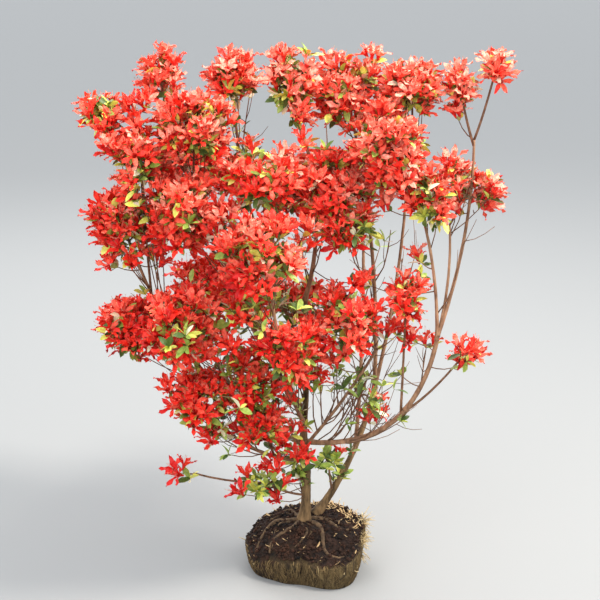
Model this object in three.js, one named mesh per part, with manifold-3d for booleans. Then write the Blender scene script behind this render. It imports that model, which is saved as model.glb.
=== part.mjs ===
// A flowering azalea shrub lifted with its root ball, in millimetres, +Z up, seen from the front along +Y.
// The origin is the middle of the flat underside of the root ball. Every limb is one tapering bend, cut
// about 0.3 mm clear of the limb that carries it, and every mass of blossom is one stem with twigs,
// flowers and leaves.
import * as THREE from "three";
import { mergeVertices } from "three/addons/utils/BufferGeometryUtils.js";
import Module from "manifold-3d";

const wasm = await Module();
wasm.setup();

// Driving dimensions of the root ball
const ball = {
  width: 218,
  soilHeight: 88,
  rimHeight: 58,
  rimRise: { right: 21, back: 17 },
  plateauRadius: 44,
  facets: 20,
};

// The lumps round the ball's wall, as waves whose heights are shares of its half width, and the one corner
// that stands out at its front right, with its bearing and its spread in radians
const wallShare = 0.93;
const wallCorner = { bearing: -0.9, height: 0.38, spread: 0.42 };
const wallLumps = [
  { waves: 2, height: 0.08, phase: Math.PI / 2 },
  { waves: 3, height: 0.03, phase: 0.8 },
  { waves: 5, height: 0.02, phase: 2.1 },
  { waves: 9, height: 0.015, phase: 0 },
];

// Surface roots: the way each one runs out from the stems, in degrees, with its reach and foot radius.
// Each is half sunk in the soil along its run, and dips under it at both ends by a share of its radius.
const rootRun = { stations: [0.3, 0.55, 0.8, 1], swing: 0.16, waves: 5, sunk: 1.5, taper: 0.62 };
const rootDraw = { footDip: 0.6, tipDip: 1, sides: 4, steps: 3 };
const surfaceRoots = [
  { bearing: 196, reach: 92, radius: 6.5 },
  { bearing: 232, reach: 84, radius: 5.5 },
  { bearing: 268, reach: 70, radius: 4 },
  { bearing: 308, reach: 112, radius: 6 },
  { bearing: 352, reach: 92, radius: 6 },
  { bearing: 66, reach: 78, radius: 5 },
  { bearing: 134, reach: 78, radius: 6 },
];

// How square the outline of a mass is: 2 is round, and more is flatter on top and below.
const tierShape = 3;

// The gap between pieces, which is measured at their corners, half the gap between two masses, and the gap
// between the stems' cut feet and the soil
const clearance = 0.4;
const cellGap = 0.6;
const soilGap = 0.3;

// How much wider a stem is where it meets the soil, and the share of its length over which that fades
const rootFlare = { spread: 6, fade: 0.1 };

// How finely a limb is drawn: more sides the thicker it is, and more steps the longer or where it flares
const facets = {
  leastSides: 5,
  spareSides: 2,
  sidesPerRadius: 0.8,
  leastSteps: 5,
  flaredSteps: 9,
  stepLength: 55,
};

// The stem of a mass stops short of its middle by a share of its reach, and sags by a share of its length.
// A twig leaves it a share of the reach back from its tip, further back the lower the twig's own tip is,
// and always between two shares of the stem's length.
const stem = { footRadius: 2.4, tipRadius: 1.7, short: 0.2, sag: 0.06, sides: 3, steps: 2 };
const twig = {
  footRadius: 1.4,
  tipRadius: 1,
  sag: 0.05,
  sides: 3,
  steps: 1,
  back: 0.04,
  backPerDrop: 0.34,
  between: [0.3, 0.98],
};

// A truss of flowers is one funnel. Its width follows the reach of its mass, and its other sizes are shares
// of its width: how deep its tube and its cup are, how far it keeps from the next one, and where the twig
// ends in it.
const truss = {
  widthPerReach: 1.1,
  leastWidth: 42,
  mostWidth: 76,
  tube: 0.3,
  cup: 0.16,
  petals: 5,
  notchRadius: 0.66,
  notchDrop: 0.06,
  spacing: 0.7,
  sizes: [1, 0.8, 0.62],
  seat: 0.17,
  offCentre: 0.12,
};

// One flower in three has a leaf, half way along its twig.
const leaf = { length: 36, width: 15, thickness: 1.6, perFlowers: 3, outward: 0.6, at: 0.5 };

// The places where a mass tries to end a twig. The first half lie in its outer shell and the others deeper,
// and none lies in the cap round its stem. Flowers face out of the mass, and turned up by the rise.
const tries = {
  count: 90,
  stride: 37,
  capHeight: 1.45,
  outer: { from: 0.88, spread: 0.08 },
  inner: { from: 0.5, spread: 0.3 },
  rise: 0.5,
};

// The limbs. Each starts a share of the way along the limb that carries it, or at its own foot on the root
// ball, and runs to its tip with a bow that lifts its middle off the straight line. Radii are at its foot
// and its tip.
const limbs = {
  main_stem: { foot: [2, -2, 87], tip: [0, 0, 250], bow: [5, 0, 0], radii: [8.6, 7] },
  right_stem: { foot: [24, 20, 87], tip: [132, 60, 326], bow: [12, 0, -8], radii: [6, 4.6] },
  leader: { on: "main_stem", at: 0.97, tip: [3, 14, 506], bow: [4, 0, 0], radii: [5.6, 4.4] },
  leader_top: { on: "leader", at: 0.98, tip: [-24, -4, 858], bow: [32, 6, 0], radii: [4, 2.4] },
  arc_lower: { on: "main_stem", at: 0.94, tip: [176, -72, 328], bow: [16, -8, -18], radii: [4.6, 4.4] },
  arc_upper: { on: "arc_lower", at: 1, tip: [227, -82, 468], bow: [8, 0, -5], radii: [4.3, 3.8] },
  arc_outer: { on: "arc_upper", at: 0.98, tip: [282, -36, 790], bow: [14, 0, 0], radii: [3.2, 2.2] },
  arc_right: { on: "arc_upper", at: 0.97, tip: [243, -62, 652], bow: [8, 4, 0], radii: [2.6, 1.9] },
  arc_inner: { on: "arc_upper", at: 0.93, tip: [182, -58, 716], bow: [11, -4, 4], radii: [3, 2] },
  right_left: { on: "right_stem", at: 0.97, tip: [84, 44, 812], bow: [16, 4, 0], radii: [4, 2.4] },
  right_right: { on: "right_stem", at: 0.96, tip: [186, 110, 700], bow: [10, 4, 0], radii: [3.6, 2.2] },
  inner_right: { on: "main_stem", at: 0.88, tip: [126, -66, 436], bow: [-2, -8, -8], radii: [3.2, 2.2] },
  left_low: { on: "main_stem", at: 0.72, tip: [-136, -66, 292], bow: [-6, -4, -14], radii: [4, 2.5] },
  left_front: { on: "main_stem", at: 0.8, tip: [-140, -120, 428], bow: [-8, -16, -18], radii: [4, 2.4] },
  left_side: { on: "main_stem", at: 0.9, tip: [-282, -36, 586], bow: [-34, 6, -34], radii: [4.6, 2.4] },
  left_top: { on: "leader", at: 0.36, tip: [-232, 24, 842], bow: [-30, 10, -14], radii: [4.4, 2.4] },
  centre_left: { on: "leader", at: 0.6, tip: [-118, 64, 826], bow: [-24, 12, -4], radii: [3.6, 2.2] },
  back_left: { on: "leader", at: 0.2, tip: [-176, 178, 640], bow: [-20, 34, -26], radii: [4.2, 2.4] },
  back_right: { on: "right_stem", at: 0.55, tip: [112, 206, 640], bow: [8, 32, -26], radii: [3.8, 2.3] },
  front_up: { on: "leader", at: 0.12, tip: [-52, -146, 560], bow: [-4, -30, -20], radii: [3.8, 2.3] },
};

// The masses of blossom: where each one springs from, its middle, its reach, how tall it is for its width,
// and how many twigs carry blossom. Long thin sprays are small masses on a long stem.
const masses = {
  top_spire: { on: "left_top", at: 1, mid: [-240, 28, 885], reach: 38, tall: 1.5, tips: 5 },
  left_tip: { on: "left_top", at: 0.8, mid: [-331, -10, 833], reach: 50, tall: 0.9, tips: 5 },
  left_shoulder: { on: "left_side", at: 0.86, mid: [-269, -52, 759], reach: 66, tall: 0.98, tips: 5 },
  top_left: { on: "left_top", at: 0.72, mid: [-179, -46, 805], reach: 82, tall: 0.92, tips: 7 },
  left_side_mass: { on: "left_side", at: 1, mid: [-302, -36, 646], reach: 66, tall: 1.13, tips: 7 },
  left_heart: { on: "left_top", at: 0.5, mid: [-202, -70, 676], reach: 88, tall: 0.9, tips: 8 },
  left_low_mass: { on: "left_side", at: 0.55, mid: [-295, -46, 472], reach: 62, tall: 0.95, tips: 7 },
  left_front_mass: { on: "left_front", at: 1, mid: [-193, -128, 494], reach: 90, tall: 0.88, tips: 9 },
  low_left: { on: "left_low", at: 1, mid: [-168, -96, 358], reach: 74, tall: 0.86, tips: 5 },
  top_centre_left: { on: "centre_left", at: 1, mid: [-123, 62, 879], reach: 47, tall: 1.15, tips: 5 },
  top_centre: { on: "leader_top", at: 1, mid: [-20, -4, 878], reach: 50, tall: 1.38, tips: 6 },
  top_centre_right: { on: "right_left", at: 1, mid: [76, 34, 864], reach: 75, tall: 0.95, tips: 6 },
  top_right: { on: "arc_inner", at: 1, mid: [180, -6, 873], reach: 56, tall: 0.98, tips: 6 },
  top_right_tip: { on: "arc_outer", at: 1, mid: [315, -32, 910], reach: 35, tall: 1.05, tips: 4 },
  top_right_low: { on: "arc_outer", at: 0.97, mid: [257, -24, 875], reach: 36, tall: 1.25, tips: 4 },
  upper_right: { on: "arc_inner", at: 0.9, mid: [143, -66, 777], reach: 80, tall: 1.06, tips: 7 },
  right_inner_top: { on: "arc_inner", at: 0.78, mid: [214, -70, 704], reach: 58, tall: 0.95, tips: 5 },
  right_mass: { on: "arc_right", at: 1, mid: [273, -52, 714], reach: 61, tall: 0.88, tips: 5 },
  centre_top: { on: "leader_top", at: 0.5, mid: [-68, -62, 728], reach: 85, tall: 0.84, tips: 7 },
  centre_front: { on: "front_up", at: 1, mid: [-69, -156, 629], reach: 86, tall: 0.82, tips: 8 },
  centre_right_top: { on: "right_left", at: 0.7, mid: [51, -36, 708], reach: 84, tall: 0.88, tips: 7 },
  centre_right_low: { on: "right_left", at: 0.6, mid: [77, -66, 655], reach: 68, tall: 0.68, tips: 5 },
  mid_right: { on: "inner_right", at: 1, mid: [75, -88, 497], reach: 74, tall: 0.98, tips: 6 },
  right_inner_mass: { on: "arc_lower", at: 0.94, mid: [172, -84, 531], reach: 40, tall: 1.32, tips: 5 },
  centre_low: { on: "front_up", at: 0.3, mid: [-26, -112, 448], reach: 78, tall: 0.92, tips: 6 },
  centre_mid: { on: "front_up", at: 0.55, mid: [-104, -100, 526], reach: 72, tall: 0.85, tips: 5 },
  low_front: { on: "left_low", at: 0.35, mid: [-92, -98, 396], reach: 60, tall: 0.95, tips: 4 },
  low_centre: { on: "left_low", at: 0.25, mid: [-80, -92, 316], reach: 56, tall: 0.9, tips: 4 },
  right_low_spray: { on: "arc_lower", at: 0.97, mid: [274, -94, 439], reach: 38, tall: 1, tips: 4 },
  low_right_spray: { on: "inner_right", at: 0.6, mid: [113, -70, 355], reach: 34, tall: 1.5, tips: 2 },
  low_left_spray: { on: "main_stem", at: 0.5, mid: [-198, -78, 213], reach: 35, tall: 1.1, tips: 1 },
  foot_left_spray: { on: "main_stem", at: 0.3, mid: [-73, -40, 179], reach: 50, tall: 0.85, tips: 3 },
  foot_right_spray: { on: "right_stem", at: 0.2, mid: [45, -4, 206], reach: 40, tall: 0.88, tips: 2 },
  back_left_mass: { on: "back_left", at: 1, mid: [-204, 178, 695], reach: 86, tall: 0.88, tips: 6 },
  back_left_low: { on: "back_left", at: 0.62, mid: [-178, 120, 501], reach: 74, tall: 0.8, tips: 5 },
  back_centre: { on: "leader_top", at: 0.42, mid: [-34, 138, 685], reach: 82, tall: 0.86, tips: 6 },
  back_right_mass: { on: "back_right", at: 1, mid: [122, 196, 706], reach: 88, tall: 0.88, tips: 6 },
  back_right_top: { on: "right_right", at: 1, mid: [172, 92, 760], reach: 66, tall: 0.95, tips: 5 },
  back_low: { on: "back_right", at: 0.5, mid: [-13, 124, 469], reach: 64, tall: 0.84, tips: 4 },
};

// Finishes from the photograph
const scarlet = { color: 0xe8352a, roughness: 0.55 };
const bark = { color: 0x7a5138, roughness: 0.9 };
const soil = { color: 0x4a3424, roughness: 1 };

const upward = new THREE.Vector3(0, 0, 1);
const goldenTurn = Math.PI * (3 - Math.sqrt(5));

// A repeatable run of numbers from 0 to 1.
function seededRandom(seed) {
  let state = Math.imul(seed + 1, 2654435761) >>> 0;
  return () => {
    state = (Math.imul(state, 1664525) + 1013904223) >>> 0;
    return state / 4294967296;
  };
}

// A closed geometry as a solid, with its shared corners merged and its collapsed faces left out.
function solidOf(geometry) {
  const bare = geometry.clone();
  bare.deleteAttribute("normal");
  bare.deleteAttribute("uv");
  const merged = mergeVertices(bare, 1e-4);
  const corners = [];
  for (let i = 0; i < merged.index.count; i += 3) {
    const face = [0, 1, 2].map((k) => merged.index.getX(i + k));
    if (new Set(face).size === 3) corners.push(...face);
  }
  return new wasm.Manifold(
    new wasm.Mesh({
      numProp: 3,
      vertProperties: merged.attributes.position.array,
      triVerts: new Uint32Array(corners),
    }),
  );
}

function geometryOf(solid) {
  const mesh = solid.getMesh();
  return new THREE.BufferGeometry()
    .setAttribute("position", new THREE.BufferAttribute(mesh.vertProperties, 3))
    .setIndex(new THREE.BufferAttribute(mesh.triVerts, 1));
}

// The largest piece of a solid, with any scrap and any sealed hollow left out.
function largestPiece(solid) {
  return solid.decompose().reduce((best, piece) => (piece.volume() > best.volume() ? piece : best));
}

// The centre line of a limb: one bend, whose middle is off the straight line by the bow.
function bentLine(foot, tip, bow) {
  const turn = foot.clone().lerp(tip, 0.5).addScaledVector(bow, 2);
  return new THREE.QuadraticBezierCurve3(foot, turn, tip);
}

// A cylinder bent along a line, its radius set along it, and grown all round if a clearance is given.
function bentCylinder(line, radiusAt, sides, steps, grown = 0) {
  const shape = new THREE.CylinderGeometry(1, 1, 1, sides, steps);
  const frames = line.computeFrenetFrames(steps);
  const corners = shape.attributes.position;
  for (let i = 0; i < corners.count; i++) {
    const along = corners.getY(i) + 0.5;
    const step = Math.round(along * steps);
    const radius = radiusAt(along) + grown;
    const place = line
      .getPointAt(along)
      .addScaledVector(frames.binormals[step], corners.getX(i) * radius)
      .addScaledVector(frames.normals[step], corners.getZ(i) * radius);
    if (step === 0) place.addScaledVector(frames.tangents[step], -grown);
    if (step === steps) place.addScaledVector(frames.tangents[step], grown);
    corners.setXYZ(i, place.x, place.y, place.z);
  }
  return shape;
}

// The height of the soil over a point of the root ball: flat where the stems stand, and falling from there
// to a rim that is lowest at the front left.
function soilTop(x, y) {
  const edge = ball.width / 2;
  const rim = ball.rimHeight + (ball.rimRise.right * x + ball.rimRise.back * y) / edge;
  const fall = (Math.hypot(x, y) - ball.plateauRadius) / (edge - ball.plateauRadius);
  return THREE.MathUtils.lerp(ball.soilHeight, rim, THREE.MathUtils.clamp(fall, 0, 1));
}

// How far the ball's lumpy wall stands out at a bearing.
function wallRadius(bearing) {
  const lumps = wallLumps.map(({ waves, height, phase }) => height * Math.sin(waves * bearing + phase));
  const off = (bearing - wallCorner.bearing) / wallCorner.spread;
  const corner = wallCorner.height * Math.exp(-off * off);
  return (ball.width / 2) * lumps.reduce((sum, lump) => sum + lump, wallShare + corner);
}

function rootBall() {
  const profile = [
    [0, 0],
    [0.9, 0],
    [0.97, 0.2],
    [1, 0.86],
    [0.9, 1],
    [(2 * ball.plateauRadius) / ball.width, 1],
    [0, 1],
  ].map(([out, up]) => new THREE.Vector2(out, up));
  const shape = new THREE.LatheGeometry(profile, ball.facets);
  const corners = shape.attributes.position;
  for (let i = 0; i < corners.count; i++) {
    const out = Math.hypot(corners.getX(i), corners.getZ(i));
    const up = corners.getY(i);
    const bearing = Math.atan2(corners.getZ(i), corners.getX(i));
    const radius = out * wallRadius(bearing);
    const x = out > 0 ? radius * Math.cos(bearing) : 0;
    const y = out > 0 ? radius * Math.sin(bearing) : 0;
    corners.setXYZ(i, x, y, up * soilTop(x, y));
  }
  // The lathe's own axis was Y and now is Z, which turns the faces round.
  const index = shape.index.array;
  for (let i = 0; i < index.length; i += 3) [index[i + 1], index[i + 2]] = [index[i + 2], index[i + 1]];
  return wasm.Manifold.union([solidOf(shape), ...surfaceRoots.map(surfaceRoot)]);
}

// A root that runs out over the soil, half sunk in it.
function surfaceRoot({ bearing, reach, radius }) {
  const way = THREE.MathUtils.degToRad(bearing);
  const stations = rootRun.stations.map((share) => {
    const swing = way + rootRun.swing * Math.sin(rootRun.waves * share + bearing);
    const x = share * reach * Math.cos(swing);
    const y = share * reach * Math.sin(swing);
    return new THREE.Vector3(x, y, soilTop(x, y) - rootRun.sunk);
  });
  stations.at(0).z -= rootDraw.footDip * radius;
  stations.at(-1).z -= rootDraw.tipDip * radius;
  const line = new THREE.CatmullRomCurve3(stations);
  const radiusAt = (along) => radius * (1 - rootRun.taper * along);
  return solidOf(bentCylinder(line, radiusAt, rootDraw.sides, rootDraw.steps));
}

const lineOf = new Map();
const standing = [];
const root = new THREE.Group();

function addNode(name, solid, finish) {
  const material = new THREE.MeshStandardMaterial({ ...finish, metalness: 0 });
  const mesh = new THREE.Mesh(geometryOf(solid), material);
  mesh.name = name;
  root.add(mesh);
}

function carriedPoint({ foot, on, at }) {
  return foot ? new THREE.Vector3(...foot) : lineOf.get(on).getPointAt(at);
}

// Keeps a solid clear of everything that stands already.
function clearOfStanding(solid) {
  const near = standing.filter((grown) => !grown.intersect(solid).isEmpty());
  return near.length ? largestPiece(solid.subtract(wasm.Manifold.union(near))) : solid;
}

function addLimb(name, limb) {
  const line = bentLine(carriedPoint(limb), new THREE.Vector3(...limb.tip), new THREE.Vector3(...limb.bow));
  const [footRadius, tipRadius] = limb.radii;
  const flare = limb.foot ? rootFlare.spread : 0;
  const radiusAt = (along) =>
    THREE.MathUtils.lerp(footRadius, tipRadius, along) + flare * Math.exp(-along / rootFlare.fade);
  const wanted = Math.round(facets.sidesPerRadius * footRadius + facets.spareSides);
  const sides = Math.max(facets.leastSides, wanted);
  const leastSteps = flare ? facets.flaredSteps : facets.leastSteps;
  const steps = Math.max(leastSteps, Math.round(line.getLength() / facets.stepLength));
  lineOf.set(name, line);
  addNode(name, clearOfStanding(solidOf(bentCylinder(line, radiusAt, sides, steps))), bark);
  standing.push(solidOf(bentCylinder(line, radiusAt, sides, steps, clearance)));
}

// A block of air under the stems, whose top is the level at which they are cut.
function soilCut() {
  const side = 2 * ball.width;
  const block = new THREE.BoxGeometry(side, side, ball.soilHeight);
  block.translate(0, 0, ball.soilHeight / 2 + soilGap);
  return solidOf(block);
}

const spaces = Object.entries(masses).map(([name, mass]) => ({
  name,
  ...mass,
  middle: new THREE.Vector3(...mass.mid),
  trussWidth: THREE.MathUtils.clamp(truss.widthPerReach * mass.reach, truss.leastWidth, truss.mostWidth),
}));

// Whether a point is in a mass's own space: inside its rounded outline, and on its side of every neighbour.
function inSpace(space, point) {
  const off = point.clone().sub(space.middle);
  const across = Math.hypot(off.x, off.y) / space.reach;
  const up = Math.abs(off.z) / (space.reach * space.tall);
  if (across ** tierShape + up ** tierShape > 1) return false;
  const own = off.lengthSq() - space.reach ** 2;
  return spaces.every((other) => {
    if (other === space) return true;
    const theirs = point.distanceToSquared(other.middle) - other.reach ** 2;
    return own + 2 * cellGap * space.middle.distanceTo(other.middle) < theirs;
  });
}

function everyCorner(shape, test) {
  const corners = shape.attributes.position;
  const point = new THREE.Vector3();
  for (let i = 0; i < corners.count; i++) {
    if (!test(point.fromBufferAttribute(corners, i))) return false;
  }
  return true;
}

// A funnel whose rim is drawn in between its petals.
function trussShape(width, place, facing, turn) {
  const profile = [
    [0, -truss.tube],
    [0.5, 0],
    [0, -truss.cup],
  ].map(([out, up]) => new THREE.Vector2(out * width, up * width));
  const shape = new THREE.LatheGeometry(profile, 2 * truss.petals, turn);
  const corners = shape.attributes.position;
  for (let spoke = 1; spoke < 2 * truss.petals; spoke += 2) {
    const i = spoke * profile.length + 1;
    const x = corners.getX(i) * truss.notchRadius;
    corners.setXYZ(i, x, -truss.notchDrop * width, corners.getZ(i) * truss.notchRadius);
  }
  return placed(shape, place, facing);
}

// Stands a shape that points along +Y at a place, pointing another way.
function placed(shape, place, way) {
  shape.applyQuaternion(new THREE.Quaternion().setFromUnitVectors(new THREE.Vector3(0, 1, 0), way));
  return shape.translate(place.x, place.y, place.z);
}

// One leaf: eight faces, with its foot sunk in the twig.
function leafShape(foot, way) {
  const shape = new THREE.OctahedronGeometry(0.5);
  shape.scale(leaf.thickness, leaf.length, leaf.width);
  shape.translate(0, leaf.length / 2, 0);
  return placed(shape, foot, way);
}

// The stem of a mass, from the limb that carries it to a little short of the mass's middle.
function stemLine(space) {
  const foot = carriedPoint(space);
  const length = foot.distanceTo(space.middle) - stem.short * space.reach;
  const way = space.middle.clone().sub(foot).normalize();
  const tip = foot.clone().addScaledVector(way, length);
  return bentLine(foot, tip, new THREE.Vector3(0, 0, -stem.sag * length));
}

// The places where the twigs of a mass may end, by one rule: even all round its middle, taken in a mixed
// order. All the draws are made whether a twig fits or not.
function triesOf(space, line, seed) {
  const random = seededRandom(seed);
  const toGrain = new THREE.Quaternion().setFromUnitVectors(upward, line.getTangentAt(1));
  const phase = random() * 2 * Math.PI;
  const span = Math.sqrt(space.reach ** 2 - (space.trussWidth / 2) ** 2);
  return Array.from({ length: tries.count }, (_, k) => {
    const spot = (k * tries.stride) % tries.count;
    const height = 1 - (tries.capHeight * (spot + random())) / tries.count;
    const around = phase + spot * goldenTurn;
    const ring = Math.sqrt(1 - height * height);
    const out = new THREE.Vector3(ring * Math.cos(around), ring * Math.sin(around), height);
    out.applyQuaternion(toGrain);
    const shell = k < tries.count / 2 ? tries.outer : tries.inner;
    const depth = shell.from + shell.spread * random();
    const offset = out.clone().multiplyScalar(span * depth);
    offset.z *= space.tall;
    const back = (space.reach * (twig.back + twig.backPerDrop * (1 - height))) / line.getLength();
    return {
      foot: line.getPointAt(THREE.MathUtils.clamp(1 - back, ...twig.between)),
      tip: space.middle.clone().add(offset),
      facing: out.clone().addScaledVector(upward, tries.rise).normalize(),
      turn: around,
    };
  });
}

// The twigs, flowers and leaves of a mass. One that would leave the mass's space, touch a limb or crowd the
// flowers that grow there already is left out.
function sprayOf(space, line, seed, obstacles) {
  const woods = [];
  const tips = [];
  const flowers = [];
  const leaves = [];
  const fits = (shape) => everyCorner(shape, (corner) => inSpace(space, corner));
  const crowded = (tip) => tips.some((other) => other.distanceTo(tip) < truss.spacing * space.trussWidth);
  const touches = (solid, others) => others.some((other) => !other.intersect(solid).isEmpty());
  const rounds = truss.sizes.flatMap((size) =>
    triesOf(space, line, seed).map((spot) => ({ ...spot, width: size * space.trussWidth })),
  );
  for (const { foot, tip, facing, turn, width } of rounds) {
    if (flowers.length === space.tips) break;
    if (crowded(tip)) continue;
    const side = new THREE.Vector3().crossVectors(facing, upward).normalize();
    const end = tip
      .clone()
      .addScaledVector(facing, -truss.seat * width)
      .addScaledVector(side, truss.offCentre * width);
    const path = bentLine(foot, end, new THREE.Vector3(0, 0, -twig.sag * foot.distanceTo(end)));
    const flowerShape = trussShape(width, tip, facing, turn);
    const twigShape = bentCylinder(path, twigRadius, twig.sides, twig.steps);
    if (!fits(flowerShape) || !fits(twigShape)) continue;
    const flower = solidOf(flowerShape);
    const wood = solidOf(twigShape);
    if (touches(flower, [obstacles]) || touches(wood, [obstacles])) continue;
    tips.push(tip);
    woods.push(wood);
    flowers.push(flower);
    if (flowers.length % leaf.perFlowers !== 1) continue;
    side.multiplyScalar(flowers.length % 2 ? 1 : -1);
    const way = side.addScaledVector(facing, leaf.outward).normalize();
    const bladeShape = leafShape(path.getPointAt(leaf.at), way);
    const blade = solidOf(bladeShape);
    if (fits(bladeShape) && !touches(blade, [obstacles, ...flowers])) leaves.push(blade);
  }
  return [...woods, ...flowers, ...leaves];
}

function twigRadius(along) {
  return THREE.MathUtils.lerp(twig.footRadius, twig.tipRadius, along);
}

addNode("root_ball", largestPiece(rootBall()), soil);
standing.push(soilCut());
for (const [name, limb] of Object.entries(limbs)) addLimb(name, limb);

// Every mass's stem is made first, so that the twigs of all the others can keep clear of it.
const limbsGrown = wasm.Manifold.union(standing);
const stems = spaces.map((space) => {
  const line = stemLine(space);
  const footRadius = space.at === 1 ? limbs[space.on].radii[1] : stem.footRadius;
  const radiusAt = (along) => THREE.MathUtils.lerp(footRadius, stem.tipRadius, along);
  const solid = clearOfStanding(solidOf(bentCylinder(line, radiusAt, stem.sides, stem.steps)));
  const grown = solidOf(bentCylinder(line, radiusAt, stem.sides, stem.steps, clearance));
  standing.push(grown);
  return { line, solid, grown };
});
spaces.forEach((space, k) => {
  const others = stems.filter((_, other) => other !== k).map(({ grown }) => grown);
  const spray = sprayOf(space, stems[k].line, k, wasm.Manifold.union([limbsGrown, ...others]));
  addNode(space.name, largestPiece(wasm.Manifold.union([stems[k].solid, ...spray])), scarlet);
});

export default root;
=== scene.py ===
import math
import bpy
import bmesh
import numpy as np
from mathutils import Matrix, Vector, noise


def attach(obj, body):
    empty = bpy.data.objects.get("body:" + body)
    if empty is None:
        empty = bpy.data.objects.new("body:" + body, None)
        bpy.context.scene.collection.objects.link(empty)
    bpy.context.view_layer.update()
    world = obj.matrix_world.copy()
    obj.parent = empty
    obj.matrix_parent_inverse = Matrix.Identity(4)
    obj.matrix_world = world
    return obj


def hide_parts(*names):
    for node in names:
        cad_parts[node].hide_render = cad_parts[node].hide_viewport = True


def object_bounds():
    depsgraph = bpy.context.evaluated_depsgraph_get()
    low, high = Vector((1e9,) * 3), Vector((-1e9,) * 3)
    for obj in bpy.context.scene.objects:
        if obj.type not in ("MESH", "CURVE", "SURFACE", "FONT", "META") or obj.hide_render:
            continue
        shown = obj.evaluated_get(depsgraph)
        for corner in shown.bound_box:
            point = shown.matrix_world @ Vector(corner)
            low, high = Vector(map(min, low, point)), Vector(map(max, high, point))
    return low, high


# A flowering azalea lifted with its root ball. Tables and growth are in millimetres, meshes in metres.
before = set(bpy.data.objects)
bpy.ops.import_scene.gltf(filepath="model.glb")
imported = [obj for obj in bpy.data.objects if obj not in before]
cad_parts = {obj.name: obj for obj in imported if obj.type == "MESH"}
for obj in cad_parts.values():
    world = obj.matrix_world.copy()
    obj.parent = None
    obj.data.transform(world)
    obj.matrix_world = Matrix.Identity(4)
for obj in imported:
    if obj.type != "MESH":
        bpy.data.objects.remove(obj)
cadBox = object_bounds()

view = {"place": (-0.0055, -2.093, 1.105), "pitchDown": 16, "lens": 75, "sensor": 36}


def addObject(name, data):
    made = bpy.data.objects.new(name, data)
    bpy.context.scene.collection.objects.link(made)
    return made


def makeCamera():
    lens = bpy.data.cameras.new("camera")
    lens.lens, lens.sensor_width = view["lens"], view["sensor"]
    camera = addObject("camera", lens)
    camera.location = view["place"]
    camera.rotation_euler = (math.radians(90 - view["pitchDown"]), 0, 0)
    bpy.context.scene.camera = camera


makeCamera()
print("camera placed")

ball = {
    "width": 218, "soilHeight": 88, "rimHeight": 58, "rimRight": 21, "rimBack": 17, "plateauRadius": 44,
    "wallShare": 0.93,
    "corner": {"bearing": -0.9, "height": 0.38, "spread": 0.42},
    "lumps": [(2, 0.08, math.pi / 2), (3, 0.03, 0.8), (5, 0.02, 2.1), (9, 0.015, 0)],
}
rootFlare = {"spread": 6, "fade": 0.1}

# Limbs: carrier and where on it, or none and the foot in the soil; then tip, bow off the straight line, radii
limbRows = {
    "main_stem": (None, (2, -2, 87), (0, 0, 250), (5, 0, 0), (8.6, 7)),
    "right_stem": (None, (24, 20, 87), (132, 60, 326), (12, 0, -8), (6, 4.6)),
    "leader": ("main_stem", 0.97, (3, 14, 506), (4, 0, 0), (5.6, 4.4)),
    "leader_top": ("leader", 0.98, (-24, -4, 858), (32, 6, 0), (4, 2.4)),
    "arc_lower": ("main_stem", 0.94, (176, -72, 328), (16, -8, -18), (4.6, 4.4)),
    "arc_upper": ("arc_lower", 1, (227, -82, 468), (8, 0, -5), (4.3, 3.8)),
    "arc_outer": ("arc_upper", 0.98, (282, -36, 790), (14, 0, 0), (3.2, 2.2)),
    "arc_right": ("arc_upper", 0.97, (243, -62, 652), (8, 4, 0), (2.6, 1.9)),
    "arc_inner": ("arc_upper", 0.93, (182, -58, 716), (11, -4, 4), (3, 2)),
    "right_left": ("right_stem", 0.97, (84, 44, 812), (16, 4, 0), (4, 2.4)),
    "right_right": ("right_stem", 0.96, (186, 110, 700), (10, 4, 0), (3.6, 2.2)),
    "inner_right": ("main_stem", 0.88, (126, -66, 436), (-2, -8, -8), (3.2, 2.2)),
    "left_low": ("main_stem", 0.72, (-136, -66, 292), (-6, -4, -14), (4, 2.5)),
    "left_front": ("main_stem", 0.8, (-140, -120, 428), (-8, -16, -18), (4, 2.4)),
    "left_side": ("main_stem", 0.9, (-282, -36, 586), (-34, 6, -34), (4.6, 2.4)),
    "left_top": ("leader", 0.36, (-232, 24, 842), (-30, 10, -14), (4.4, 2.4)),
    "centre_left": ("leader", 0.6, (-118, 64, 826), (-24, 12, -4), (3.6, 2.2)),
    "back_left": ("leader", 0.2, (-176, 178, 640), (-20, 34, -26), (4.2, 2.4)),
    "back_right": ("right_stem", 0.55, (112, 206, 640), (8, 32, -26), (3.8, 2.3)),
    "front_up": ("leader", 0.12, (-52, -146, 560), (-4, -30, -20), (3.8, 2.3)),
}
limbs = {name: dict(zip(("on", "at", "tip", "bow", "radii"), row)) for name, row in limbRows.items()}

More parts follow.
